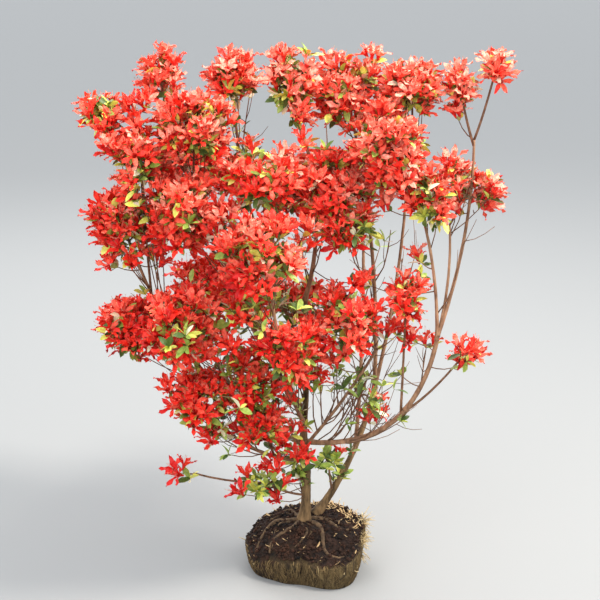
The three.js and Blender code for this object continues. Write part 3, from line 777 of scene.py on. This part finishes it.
def addFlower(twigEnd, way, k, pick):
    way = unit(way)
    throatAt = twigEnd + way * (finer["pedicel"] + flower["tube"])
    dent = finer["dentDepth"] + finer["dentSwing"] * noise.noise(Vector(throatAt / finer["dentSize"]))
    dent += pick.uniform(-finer["dentChance"], finer["dentChance"])
    if not inSpace(k, throatAt, finer["edgeSlack"] - finer["ragged"] * max(0, dent)):
        return
    if np.any(throatAt < lowEdge + finer["boxGap"]) or np.any(throatAt > highEdge - finer["boxGap"]):
        return
    if tooNear(throatAt, flowerPlaces, finer["flowerSpacing"]):
        return
    if tooNear(throatAt, limbPoints, finer["limbSpacing"]):
        return
    if habitOf[k]["behind"] and hidesLimb(habitOf[k]["behind"], throatAt):
        return
    flowerPlaces.append(throatAt)
    size = pick.uniform(*flower["sizes"])
    facing = unit(way + habitOf[k]["flowerRise"] * upward + pick.normal(0, finer["tilt"], 3))
    axes = axesOf(facing, pick.uniform(0, 2 * math.pi))
    kind = flowerKinds[pick.integers(flower["kinds"])]
    # Its lobes take tints of painted light and shade, dealt by facing, height, place and chance
    paintedLightAndChance = paintedLightAndChanceOf(facing, throatAt, pick)
    if inOpening(throatAt + axes[:, 2] * 8):
        return
    for lobe in kind["lobes"]:
        heaps[paintedTintOf(paintedLightAndChance, pick)].add(lobe, throatAt, axes, size)
    heaps["throats"].add(throat, throatAt, axes, size)
    for heapName in ("stamens", "anthers"):
        heaps[heapName].add(kind[heapName], throatAt, axes, size)
    foot = throatAt - axes[:, 2] * flower["tube"] * size
    stalk = [twigEnd, (twigEnd + foot) / 2, foot, foot + facing * 2.5]
    heaps["calyces"].add(strandShape(stalk, [0.6, 0.6, 0.8, 1.9], 4))


# A way that leans out from a twig's end by some share, at a bearing about it
def fanned(axes, bearing, lean):
    return axes[:, 2] + lean * (axes[:, 0] * math.cos(bearing) + axes[:, 1] * math.sin(bearing))


def addRosette(twigEnd, facing, count, k, pick, shares):
    if habitOf[k]["behind"] and hidesLimb(habitOf[k]["behind"], twigEnd):
        return
    axes = axesOf(facing, 0)
    phase = pick.uniform(0, 2 * math.pi)
    for number in range(count):
        bearing = phase + goldenTurn * number
        way = unit(fanned(axes, bearing, pick.uniform(0.5, 2.2)))
        length = pick.uniform(*leaf["length"])
        if inSpace(k, twigEnd + way * length, 6):
            kind = pick.choice(leafTints, p=shares)
            addLeaf(twigEnd - axes[:, 2] * 2, way, length, pick, kind)


budShape = strandShape([(0, 0, -8), (0, 0, -3), (0, 0, 3), (0, 0, 9)], [0.6, 2.1, 2.4, 0.5], 5)


def addBud(twigEnd, facing, pick):
    way = unit(facing + 0.4 * pick.normal(0, 1, 3))
    heaps["buds"].add(budShape, twigEnd + way * 15, axesOf(way, 0))
    heaps["calyces"].add(strandShape([twigEnd, twigEnd + way * 8], [0.5, 0.6], 3))


def addTruss(twigEnd, facing, flowers, k, pick):
    axes = axesOf(facing, 0)
    phase = pick.uniform(0, 2 * math.pi)
    for number in range(flowers):
        bearing = phase + 2 * math.pi * number / max(1, flowers - (flowers > 3))
        lean = pick.uniform(*habitOf[k]["spread"]) if flowers > 1 else 0.15
        lean *= 0.1 if flowers > 3 and number == flowers - 1 else 1
        addFlower(twigEnd, fanned(axes, bearing, lean), k, pick)
    addRosette(twigEnd, facing, pick.integers(*habitOf[k]["leaves"]), k, pick, habitOf[k]["tones"])
    if pick.random() < finer["budChance"]:
        addBud(twigEnd, axes[:, 2], pick)


def addTwig(foot, end, radii, sag, sides, heap, pick):
    length = np.linalg.norm(end - foot)
    sway = 0.06 * length
    path = bentLine(foot, end, (pick.uniform(-sway, sway), pick.uniform(-sway, sway), -sag * length), 12)
    count = max(4, int(length / 22))
    heaps[heap].add(strandShape(path.stations(count), np.linspace(*radii, count), sides))
    return path


def isLeafy(spot, habit):
    return spot["out"] @ np.array(habit["leafSide"]) > habit["leafCone"]


# How much further a tier reaches than a ball does, most of all towards its rounded corners
def cornerStretch(out):
    return (math.hypot(out[0], out[1]) ** tierShape + abs(out[2]) ** tierShape) ** (-1 / tierShape)


# A mass: its stem, the main twigs of the solid, and then finer twigs from them or from the limb below.
def growMass(k, mass):
    pick = np.random.default_rng(700 + k)
    carrier, share, _, reach, _, tips = mass
    width = min(truss["mostWidth"], max(truss["leastWidth"], truss["widthPerReach"] * reach))
    line = stemLine(k, mass)
    footRadius = limbs[carrier]["radii"][1] if share == 1 else stem["footRadius"]
    heaps["twigs"].add(strandShape(line.stations(8), np.linspace(footRadius, stem["tipRadius"], 8), 7))
    ends, bearers = [], [line]
    habit = habitOf[k]
    rounds = [(size, spot) for size in truss["sizes"] for spot in triesOf(k, mass, line, k, width, tries)]
    for size, spot in rounds:
        if len(ends) == tips:
            break
        apart = truss["spacing"] * width
        if not inSpace(k, spot["tip"]) or tooNear(spot["tip"], ends, apart):
            continue
        side = unit(np.cross(spot["facing"], upward))
        lean = truss["offCentre"] * size * width * side
        end = spot["tip"] - (truss["seat"] * size * width + truss["back"]) * spot["facing"] + lean
        path = addTwig(spot["foot"], end, twig["radii"], twig["sag"], 5, "twigs", pick)
        ends.append(spot["tip"])
        bearers.append(path)
        if isLeafy(spot, habit):
            addRosette(end, spot["facing"], pick.integers(*finer["mainWhorl"]), k, pick, habit["leafyTones"])
        else:
            addTruss(end, spot["facing"], pick.integers(*habit["mainFlowers"]), k, pick)
    wanted, fine = round(tips * habit["perTip"]), 0
    for spot in triesOf(k, mass, line, k + 500, finer["width"], finerTries):
        if fine == wanted:
            break
        lump = 1 - finer["lumps"] * (0.5 + noise.noise(Vector(spot["out"] * 1.7) + Vector((k, 0, 0))))
        tip = middles[k] + (spot["tip"] - middles[k]) * lump * cornerStretch(spot["out"]) * habit["shape"]
        if not inSpace(k, tip) or tooNear(tip, ends, finer["spacing"]):
            continue
        facing = unit(spot["facing"] + pick.normal(0, finer["turn"], 3))
        end = tip - facing * (finer["pedicel"] + flower["tube"])
        if pick.random() < habit["underStems"]:
            foot = lineOf[carrier].at(max(0.05, share - pick.uniform(*habit["underBack"])))
        else:
            places = [bearer.at(part) for bearer in bearers for part in finer["bearAt"]]
            climb = [finer["climb"] * max(0, place[2] - end[2]) for place in places]
            far = np.linalg.norm(np.array(places) - end, axis=1) + climb
            foot = places[int(np.argmin(far))]
        if np.linalg.norm(foot - end) < finer["shortest"]:
            continue
        fine += 1
        ends.append(tip)
        path = addTwig(foot, end, finer["radii"], finer["sag"], 4, "fineTwigs", pick)
        bearers.append(path)
        if isLeafy(spot, habit) or pick.random() < habit["rosettes"]:
            addRosette(end, facing, pick.integers(*finer["fineWhorl"]), k, pick, habit["leafyTones"])
        else:
            addTruss(end, facing, pick.integers(*habit["fineFlowers"]), k, pick)


# Single trusses and whorls that stand out between the masses: where, how many flowers
sprigs = {
    "radii": (1.1, 0.7), "leaves": (6, 10), "footBelow": 8, "trussBack": 12, "whorlBack": 4, "lift": 0.7,
    "sag": 0.1,
    "places": (
        (-287, -12, 843, 5), (-260, -20, 849, 5), (-273, -30, 822, 5), (3, -125, 661, 5),
        (-1, -115, 634, 4), (164, -74, 475, 5), (143, -80, 470, 4), (185, -70, 458, 4), (213, -60, 449, 3),
        (193, -50, 596, 2), (49, -85, 420, 4), (25, -90, 393, 4), (-19, -80, 353, 4), (-12, -60, 286, 4),
        (0, -45, 233, 4), (-57, -80, 287, 5), (118, -60, 307, 3), (165, -60, 393, 0), (-324, -40, 583, 4),
        (-241, -50, 588, 4), (-116, -160, 478, 5), (-145, -110, 656, 5), (-125, -120, 683, 4),
        (136, -70, 686, 5), (261, -50, 680, 3), (253, -20, 832, 4), (8, -5, 930, 0), (115, 30, 923, 5),
        (-347, -40, 670, 4), (-157, -95, 286, 3), (-231, -95, 375, 4), (-48, -60, 218, 3),
        (-45, -45, 150, 2), (-32, -40, 179, 0), (-112, -60, 169, 2), (-135, -60, 243, 0), (84, -25, 232, 0),
        (30, -40, 213, 0), (-39, -60, 267, 3), (103, -75, 559, 3), (86, -80, 564, 3), (238, -62, 756, 4),
        (4, -30, 789, 4), (260, -92, 419, 2),
    ),
}


def growSprig(x, y, z, flowers, pick):
    middle = np.array((x, y, z), float)
    low = limbPoints[limbPoints[:, 2] < z - sprigs["footBelow"]]
    foot = low[np.argmin(np.linalg.norm(low - middle, axis=1))]
    facing = unit(unit(middle - foot) + sprigs["lift"] * upward)
    end = middle - facing * sprigs["trussBack" if flowers else "whorlBack"]
    addTwig(foot, end, sprigs["radii"], sprigs["sag"], 4, "fineTwigs", pick)
    if flowers:
        addTruss(end, facing, flowers, loose, pick)
    else:
        addRosette(end, facing, pick.integers(*sprigs["leaves"]), loose, pick, shoots["tones"])


for k, mass in enumerate(masses.values()):
    growMass(k, mass)

# Thin side shoots along the limbs, most of them bare, some with a few small leaves at their forks' ends
shoots = {
    "length": (55, 150), "along": 0.8, "rise": 0.8, "spread": 0.55, "radii": (1.3, 0.75), "forks": (2, 6),
    "forkAt": (0.3, 0.95), "forkLength": (0.25, 0.6), "forkRadii": (0.85, 0.45), "forkTurn": 0.5,
    "forkRise": 0.3, "forkSag": 0.09, "sag": 0.13, "leaves": (2, 6), "tones": (0.5, 0.2, 0.24, 0.06),
    "lean": (0, 0, 0), "places": (0.06, 0.8), "bare": 0.5,
    "limbs": {
        "main_stem": {
            "count": 5,
            "places": (0.2, 0.95),
            "bare": 0.2,
            "length": (24, 72),
            "leaves": (3, 6),
            "lean": (-0.7, -0.5, 0),
        },
        "right_stem": {"count": 2, "places": (0.12, 0.4), "bare": 0.3, "length": (16, 40), "leaves": (2, 5)},
        "leader": {"count": 8},
        "leader_top": {"count": 6, "bare": 0.6},
        "arc_lower": {"count": 12, "places": (0.03, 0.5), "bare": 0.86, "length": (90, 165)},
        "arc_upper": {"count": 1, "places": (0.1, 0.4), "bare": 1},
        "arc_inner": {"count": 1, "places": (0.1, 0.5), "bare": 1},
        "right_left": {"count": 3, "places": (0.05, 0.7), "bare": 0.85},
        "right_right": {"count": 3, "places": (0.05, 0.7), "bare": 0.8},
        "inner_right": {"count": 8, "places": (0.05, 0.7), "bare": 0.82, "length": (70, 150)},
        "left_low": {"count": 7, "bare": 0.45},
        "left_front": {"count": 8, "bare": 0.45},
        "left_side": {"count": 8},
        "left_top": {"count": 7, "bare": 0.6},
        "centre_left": {"count": 4},
        "back_left": {"count": 8},
        "back_right": {"count": 8},
        "front_up": {"count": 9},
    },
}


def growShoot(line, habit, pick):
    share = pick.uniform(*habit["places"])
    foot, length = line.at(share), pick.uniform(*habit["length"])
    radial = unit(np.cross(line.way(share), pick.normal(0, 1, 3)))
    way = shoots["along"] * line.way(share) + shoots["rise"] * upward + shoots["spread"] * radial
    way = unit(way + np.array(habit["lean"]))
    path = addTwig(foot, foot + way * length, shoots["radii"], shoots["sag"], 4, "fineTwigs", pick)
    ends = [(path.at(1), path.way(1))]
    for _ in range(pick.integers(*habit["forks"])):
        start = path.at(pick.uniform(*shoots["forkAt"]))
        turned = unit(way + pick.normal(0, shoots["forkTurn"], 3) + shoots["forkRise"] * upward)
        end = start + turned * length * pick.uniform(*shoots["forkLength"])
        fork = addTwig(start, end, shoots["forkRadii"], shoots["forkSag"], 3, "fineTwigs", pick)
        ends.append((end, fork.way(1)))
    for end, facing in ends:
        if pick.random() > habit["bare"]:
            addRosette(end, facing, pick.integers(*habit["leaves"]), loose, pick, shoots["tones"])


sprigPick = np.random.default_rng(77)
for place in sprigs["places"]:
    growSprig(*place, sprigPick)
print(f"{len(flowerPlaces)} flowers grown")

for number, (limbName, own) in enumerate(shoots["limbs"].items()):
    shootPick = np.random.default_rng(1200 + number)
    for _ in range(own["count"]):
        growShoot(lineOf[limbName], {**shoots, **own}, shootPick)
print("side shoots grown")

petalLook = {"scale": 220, "contrast": 3, "roughness": 0.5, "depth": 0.0003}
leafLook = {"scale": 150, "roughness": 0.42, "bump": 0.35}
throatLook = {"scale": 200, "roughness": 0.5}
filamentLook = {"scale": 240, "roughness": 0.5}
stalkLook = {"scale": 200, "roughness": 0.6}
# Heap, piece, slot, finish, its dark and light tones, and how it differs from the plain finish
# The coral, salmon and crimson petals are the scarlet red with painted light, a painted highlight and painted
# shade
crownParts = (
    ("scarlet", "blossom_scarlet", "blossom", "petal_scarlet", (226, 22, 14), (255, 70, 48), petalLook),
    ("coral_painted_light", "blossom_coral_painted_light", "blossom", "petal_coral_painted_light", (242, 54, 38), (255, 118, 90), petalLook),
    ("salmon_painted_highlight", "blossom_salmon_painted_highlight", "blossom", "petal_salmon_painted_highlight", (250, 98, 74), (255, 184, 158), petalLook),
    ("crimson_painted_shade", "blossom_crimson_painted_shade", "blossom", "petal_crimson_painted_shade", (186, 12, 12), (232, 30, 22), petalLook),
    ("throats", "blossom_throats", "blossom", "petal_throat", (186, 16, 18), (230, 44, 34), throatLook),
    ("stamens", "stamens", "blossom", "filament", (226, 84, 70), (246, 150, 126), filamentLook),
    ("anthers", "anthers", "blossom", "pollen", (120, 84, 40), (226, 196, 130), {"scale": 300}),
    ("calyces", "flower_stalks", "foliage", "stalk_green", (96, 84, 40), (150, 150, 70), stalkLook),
    ("buds", "blossom_buds", "blossom", "bud_red", (150, 14, 22), (222, 44, 40), {"scale": 150}),
    ("leafMid", "leaves_mid", "foliage", "leaves_mid", (112, 142, 50), (180, 196, 96), leafLook),
    ("leafDark", "leaves_dark", "foliage", "leaves_dark", (56, 78, 34), (102, 126, 60), leafLook),
    ("leafYoung", "leaves_young", "foliage", "leaves_young", (196, 200, 60), (244, 240, 130), leafLook),
    # Pale cream leaves: a painted highlight
    ("leafPaintedHighlight", "leaves_painted_highlight", "foliage", "leaves_painted_highlight", (230, 220, 166), (255, 252, 228), leafLook),
)
for heapName, pieceName, slot, finishName, dark, light, look in crownParts:
    makePiece(pieceName, heaps[heapName], makeFinish(finishName, dark, light, **look), slot, massNames)
twigLook = {"scale": 170, "stretch": (1, 1, 0.4), "roughness": 0.8, "bump": 0.5}
twigFinish = makeFinish("twig_bark", (66, 44, 32), (150, 108, 78), **twigLook)
makePiece("twigs_main", heaps["twigs"], twigFinish, "bark", massNames)
makePiece("twigs_fine", heaps["fineTwigs"], twigFinish, "bark", massNames)
print("crown joined")

# The root ball: soil on top, matted roots down its wall
soilBall = {
    "turns": 220, "wallRows": 26, "topRows": 40,
}


def ringPlace(bearing, radius, middle=(0, 0)):
    return middle[0] + radius * math.cos(bearing), middle[1] + radius * math.sin(bearing)


def onSoil(x, y, lift):
    return x, y, soilTop(x, y) + lift


def ballRelief(x, y, z, out, bearing):
    spot = Vector((x, y, z))
    coarse = noise.fractal(spot / 26, 0.9, 2.1, 4)
    fine = noise.fractal(spot / 7 + Vector((9, 4, 2)), 0.8, 2.2, 3)
    if out > 0.93 and z > 1:
        ridges = noise.noise(Vector((bearing * 22, z / 22, 3)))
        ridges += 0.6 * noise.noise(Vector((bearing * 60, z / 12, 7)))
        return 2.4 * coarse + 2.6 * ridges, 1.2 * fine
    return 0, 3.6 * coarse + 2.2 * fine


# How far out the wall stands at a share of its height
def wallShape(row):
    return 0.9 + 0.1 * math.sin(min(1, row * 1.25) * math.pi / 2) - 0.6 * max(0, row - 0.9) * row


def makeBall():
    profile = [(out, 0) for out in np.linspace(0, 0.9, 8)]
    profile += [(wallShape(row), row) for row in np.linspace(0, 1, soilBall["wallRows"])[1:]]
    edge = profile[-1][0]
    profile += [(edge * (1 - share), 1) for share in np.linspace(0, 1, soilBall["topRows"])[1:]]
    bm = bmesh.new()
    chain = [bm.verts.new((out, 0, up)) for out, up in profile]
    for a, b in zip(chain, chain[1:]):
        bm.edges.new((a, b))
    circle = {"cent": (0, 0, 0), "axis": (0, 0, 1), "dvec": (0, 0, 0), "angle": 2 * math.pi}
    bmesh.ops.spin(bm, geom=bm.verts[:] + bm.edges[:], steps=soilBall["turns"], use_merge=True, **circle)
    bmesh.ops.remove_doubles(bm, verts=bm.verts, dist=1e-5)
    for v in bm.verts:
        out, bearing = math.hypot(v.co.x, v.co.y), math.atan2(v.co.y, v.co.x)
        radius = out * wallRadius(bearing)
        x, y = ringPlace(bearing, radius)
        z = v.co.z * soilTop(x, y)
        push, lift = ballRelief(x, y, z, out, bearing)
        if v.co.z > 0:
            radius += push - 1.5
            z = max(0.3, z + lift * min(1, v.co.z))
        v.co = Vector((*ringPlace(bearing, radius), z)) * metre
    bmesh.ops.recalc_face_normals(bm, faces=bm.faces)
    return meshOf(bm, "root_ball_soil")


# Soil where the ball lies level, near-black as its own colour and painted shade; matted straw-coloured roots
# where it is steep, more towards its right, partly as painted sunlight
def makeSoilFinish():
    # The soil's near-black tones are partly its own colour and partly painted shade
    material = makeFinish(
        "soil", (13, 9, 7), (52, 33, 23), scale=62, contrast=3.4, roughness=0.95, bump=1, depth=0.004
    )
    nodes = material.node_tree.nodes
    shader, patch = nodes["Principled BSDF"], next(n for n in nodes if n.type == "GROUP")
    straw = addPatch(nodes, (38, 28, 18), (122, 102, 66), 120, (1, 1, 0.22), 3)
    facing, parts = addNode(nodes, "NewGeometry"), addNode(nodes, "SeparateXYZ")
    steep = addNode(nodes, "MapRange", {"From Min": 0.75, "From Max": 0.35})
    spot, sides = addNode(nodes, "TexCoord"), addNode(nodes, "SeparateXYZ")
    # Lighter towards the right: partly straw roots, partly painted sunlight on that side
    strawAndSunlitSide = addNode(nodes, "MapRange", {"From Min": -0.075, "From Max": 0.03, "To Min": 0.12})
    both = addNode(nodes, "Math", operation="MULTIPLY")
    blend = addNode(nodes, "Mix", data_type="RGBA")
    rows = (
        (facing, "Normal", parts, 0),
        (parts, "Z", steep, "Value"),
        (spot, "Object", sides, 0),
        (sides, "X", strawAndSunlitSide, "Value"),
        (strawAndSunlitSide, "Result", both, 0),
        (steep, "Result", both, 1),
        (both, 0, blend, "Factor"),
        (patch, "Color", blend, "A"),
        (straw, "Color", blend, "B"),
        (blend, "Result", shader, "Base Color"),
    )
    linkAll(material.node_tree, rows)
    return material


dressPiece("root_ball_soil", makeBall(), makeSoilFinish(), "soil", ["root_ball"])

# Surface roots: bearing in degrees, reach, radius
surfaceRoots = [(196, 92, 6.5), (232, 84, 5.5), (268, 70, 4), (308, 112, 6), (352, 92, 6)]
surfaceRoots += [(66, 78, 5), (134, 78, 6)]
rootBark = {**bark, "ringLength": 2.4, "knotSpacing": 30}


def growSurfaceRoots(material):
    bm = bmesh.new()
    forks = [(b + 19, r * 0.84, w * 0.42) for b, r, w in surfaceRoots[::2]]
    for number, (bearing, reach, radius) in enumerate(surfaceRoots + forks):
        way, stations = math.radians(bearing), []
        for share in np.linspace(0.08 if number < len(surfaceRoots) else 0.34, 1.06, 14):
            swing = way + 0.2 * math.sin(6 * share + bearing)
            x, y = ringPlace(swing, share * reach)
            stations.append(onSoil(x, y, -radius * (0.24 + 0.14 * math.sin(17 * share + bearing))))
        addBarkTube(
            bm, Line(stations), lambda share: radius * (0.95 - 0.68 * share), 12, 60 + number, rootBark
        )
    bmesh.ops.recalc_face_normals(bm, faces=bm.faces)
    dressPiece("surface_roots", meshOf(bm, "surface_roots"), material, "root_fibre", ["root_ball"])


growSurfaceRoots(makeFinish("root_bark", (42, 30, 22), (116, 92, 66), scale=120, roughness=0.9, bump=0.7))


# A lump of soil of eight faces
lumpCorners = np.array([(0, 0, 1), (1, 0, 0), (0, 1, 0), (-1, 0, 0), (0, -1, 0), (0, 0, -1)], float)
lumpFaces = np.array([(0, 1, 2), (0, 2, 3), (0, 3, 4), (0, 4, 1), (5, 2, 1), (5, 3, 2), (5, 4, 3), (5, 1, 4)])


def lumpShape(wide, high, pick):
    return lumpCorners * (wide, wide, high) * pick.uniform(0.6, 1.25, (6, 1)), lumpFaces


def wallPlace(bearing, share):
    x, y = ringPlace(bearing, wallRadius(bearing))
    return x, y, share * soilTop(x, y)


crumbLook = {"scale": 50, "contrast": 3.6, "roughness": 0.95}
fibreLook = {"scale": 90, "stretch": (1, 1, 0.3), "roughness": 0.85}
strawLook = {"scale": 160, "roughness": 0.7}
litterLook = {"scale": 130, "roughness": 0.8}
# How many small bits lie on the ball or stand out of it, where, and how large they are
crumb = {"count": 3000, "inset": 3, "least": 0.8, "swing": 4.6, "flat": (0.5, 0.9), "lift": (-0.8, 1)}
footCrumb = {"count": 240, "ring": (9, 19), "sizes": (1.2, 3.4), "flat": 0.7, "heap": (0, 0.3)}
fibre = {"count": 1300, "heights": (0.05, 0.95), "drift": 0.045, "length": (0.16, 0.6), "radii": (0.62, 0.26)}
tuft = {"count": 12, "middle": -0.12, "spread": 0.42, "heights": (0.5, 1), "width": (0.06, 0.05)}
stray = {"count": 170, "tufted": 0.86, "out": 0.55, "scatter": 0.7, "length": (9, 24)}
strayRadii = np.array((1.05, 0.85, 0.35))
litter = {"count": 230, "rings": (0.2, 0.98), "right": 0.72, "narrow": (0.25, 0.8), "sizes": (4, 13)}
litterLift = 1.6


def addCrumbs(heap, pick):
    for _ in range(crumb["count"]):
        bearing, out = pick.uniform(-math.pi, math.pi), math.sqrt(pick.random())
        x, y = ringPlace(bearing, out * (wallRadius(bearing) - crumb["inset"]))
        size = crumb["least"] + crumb["swing"] * pick.random() ** 3
        lump = lumpShape(size, size * pick.uniform(*crumb["flat"]), pick)
        heap.add(lump, onSoil(x, y, pick.uniform(*crumb["lift"])), axesOf(pick.normal(0, 1, 3), 0))
    for _ in range(footCrumb["count"]):
        foot = pick.choice([limbs["main_stem"]["at"], limbs["right_stem"]["at"]])
        bearing, radius = pick.uniform(-math.pi, math.pi), pick.uniform(*footCrumb["ring"])
        x, y = ringPlace(bearing, radius, foot)
        size = pick.uniform(*footCrumb["sizes"])
        lump = lumpShape(size, size * footCrumb["flat"], pick)
        heaped = (footCrumb["ring"][1] - radius) * pick.uniform(*footCrumb["heap"])
        heap.add(lump, onSoil(x, y, heaped), axesOf(pick.normal(0, 1, 3), 0))


def addFibres(heap, pick):
    for number in range(fibre["count"]):
        bearing, share = pick.uniform(-math.pi, math.pi), pick.uniform(*fibre["heights"])
        drift, length = pick.normal(0, fibre["drift"]), pick.uniform(*fibre["length"])
        stations = []
        for part in np.linspace(0, 1, 5):
            high = min(0.98, max(0.03, share + length * (part - 0.5)))
            x, y, z = wallPlace(bearing + drift * part, high)
            lift = wallShape(high) - 0.008 + 0.01 * math.sin(3.1 * part + number)
            stations.append((x * lift, y * lift, z))
        heap.add(strandShape(stations, np.linspace(*fibre["radii"], 5) * pick.uniform(0.5, 1.3), 3))


def addStrays(heap, pick):
    tufts = [
        np.array((pick.normal(tuft["middle"], tuft["spread"]), pick.uniform(*tuft["heights"])))
        for _ in range(tuft["count"])
    ]
    for _ in range(stray["count"]):
        bearing, high = pick.uniform(-math.pi, math.pi), pick.uniform(*tuft["heights"])
        if pick.random() < stray["tufted"]:
            bearing, high = tufts[pick.integers(len(tufts))] + pick.normal(0, 1, 2) * tuft["width"]
        x, y, z = wallPlace(bearing, min(1, high))
        out = np.array((math.cos(bearing), math.sin(bearing), 0))
        way = unit(stray["out"] * out + pick.normal(0, stray["scatter"], 3))
        length = pick.uniform(*stray["length"])
        foot = np.array((x, y, z)) - out * 3
        bend = foot + way * length * 0.5 + upward * pick.uniform(-4, 5)
        tip = foot + way * length + np.array((0, 0, pick.uniform(-6, 6)))
        tip[2] = max(1, tip[2])
        heap.add(strandShape([foot, bend, tip], strayRadii * pick.uniform(0.6, 1.2), 3))


def addLitter(heap, pick):
    for _ in range(litter["count"]):
        bearing, out = pick.uniform(-math.pi, math.pi), math.sqrt(pick.uniform(*litter["rings"]))
        if pick.random() < litter["right"]:
            bearing, out = pick.normal(0.7, 0.6), pick.uniform(0.72, 0.99)
        x, y = ringPlace(bearing, out * (wallRadius(bearing) - 2))
        way = unit(np.array((pick.normal(), pick.normal(), 0.25 * abs(pick.normal()))))
        side = np.cross(way, upward)
        axes = np.column_stack([unit(side), -unit(np.cross(side, way)), way])
        corners, sides = leafKinds[pick.integers(leaf["kinds"])]
        narrow = (corners * (pick.uniform(*litter["narrow"]), 1, 1), sides)
        heap.add(narrow, onSoil(x, y, litterLift), axes, pick.uniform(*litter["sizes"]))


# Piece, what fills it, slot, finish, its dark and light tones, and how it differs from the plain finish
soilParts = (
    # The crumbs' near-black tone is partly their own colour and partly painted shade
    ("soil_crumbs", addCrumbs, "soil", "soil_crumb_and_painted_shade", (9, 6, 5), (66, 41, 27), crumbLook),
    ("root_fibres", addFibres, "root_fibre", "root_fibre", (58, 42, 26), (148, 122, 80), fibreLook),
    ("stray_roots", addStrays, "root_fibre", "straw", (158, 128, 82), (228, 206, 156), strawLook),
    ("dry_litter", addLitter, "foliage", "dry_litter", (132, 98, 62), (224, 192, 140), litterLook),
)
soilPick = np.random.default_rng(41)
for pieceName, fillHeap, slot, finishName, dark, light, look in soilParts:
    bits = Heap()
    fillHeap(bits, soilPick)
    makePiece(pieceName, bits, makeFinish(finishName, dark, light, **look), slot, ["root_ball"])
print("root ball made")

studio = {
    "floor": (148, 148, 146), "floorSize": 60, "skyStrength": 1.62, "skyTone": (0.9, 0.94, 1, 1),
    "aim": (0, 0, 0.5),
    "lamps": [
        {"name": "key", "place": (1.5, -0.5, 2.9), "size": 0.7, "power": 114, "tone": (1, 0.96, 0.9)},
        {"name": "fill", "place": (-2.2, -2.4, 1.7), "size": 2.2, "power": 36, "tone": (0.95, 0.97, 1)},
        {"name": "rim", "place": (-0.6, 2.4, 2.4), "size": 1.6, "power": 38, "tone": (1, 1, 1)},
    ],
}


def makeStudio():
    bm = bmesh.new()
    bmesh.ops.create_grid(bm, x_segments=2, y_segments=2, size=studio["floorSize"] / 2)
    mesh = bpy.data.meshes.new("floor")
    bm.to_mesh(mesh)
    bm.free()
    floor = addObject("floor", mesh)
    plain, shader = newMaterial("pale_floor", 0.9)
    shader.inputs["Base Color"].default_value = toLinear(*studio["floor"])
    mesh.materials.append(plain)
    world = bpy.data.worlds.new("soft_sky")
    world.use_nodes = True
    sky = world.node_tree.nodes["Background"].inputs
    sky["Color"].default_value, sky["Strength"].default_value = studio["skyTone"], studio["skyStrength"]
    bpy.context.scene.world = world
    for lamp in studio["lamps"]:
        data = bpy.data.lights.new(lamp["name"], "AREA")
        data.energy, data.size, data.color = lamp["power"], lamp["size"], lamp["tone"]
        light = addObject(lamp["name"], data)
        light.location = lamp["place"]
        way = Vector(studio["aim"]) - Vector(lamp["place"])
        light.rotation_euler = way.to_track_quat("-Z", "Y").to_euler()
    bpy.context.scene.view_settings.view_transform = "Standard"


makeStudio()
print("studio lit")
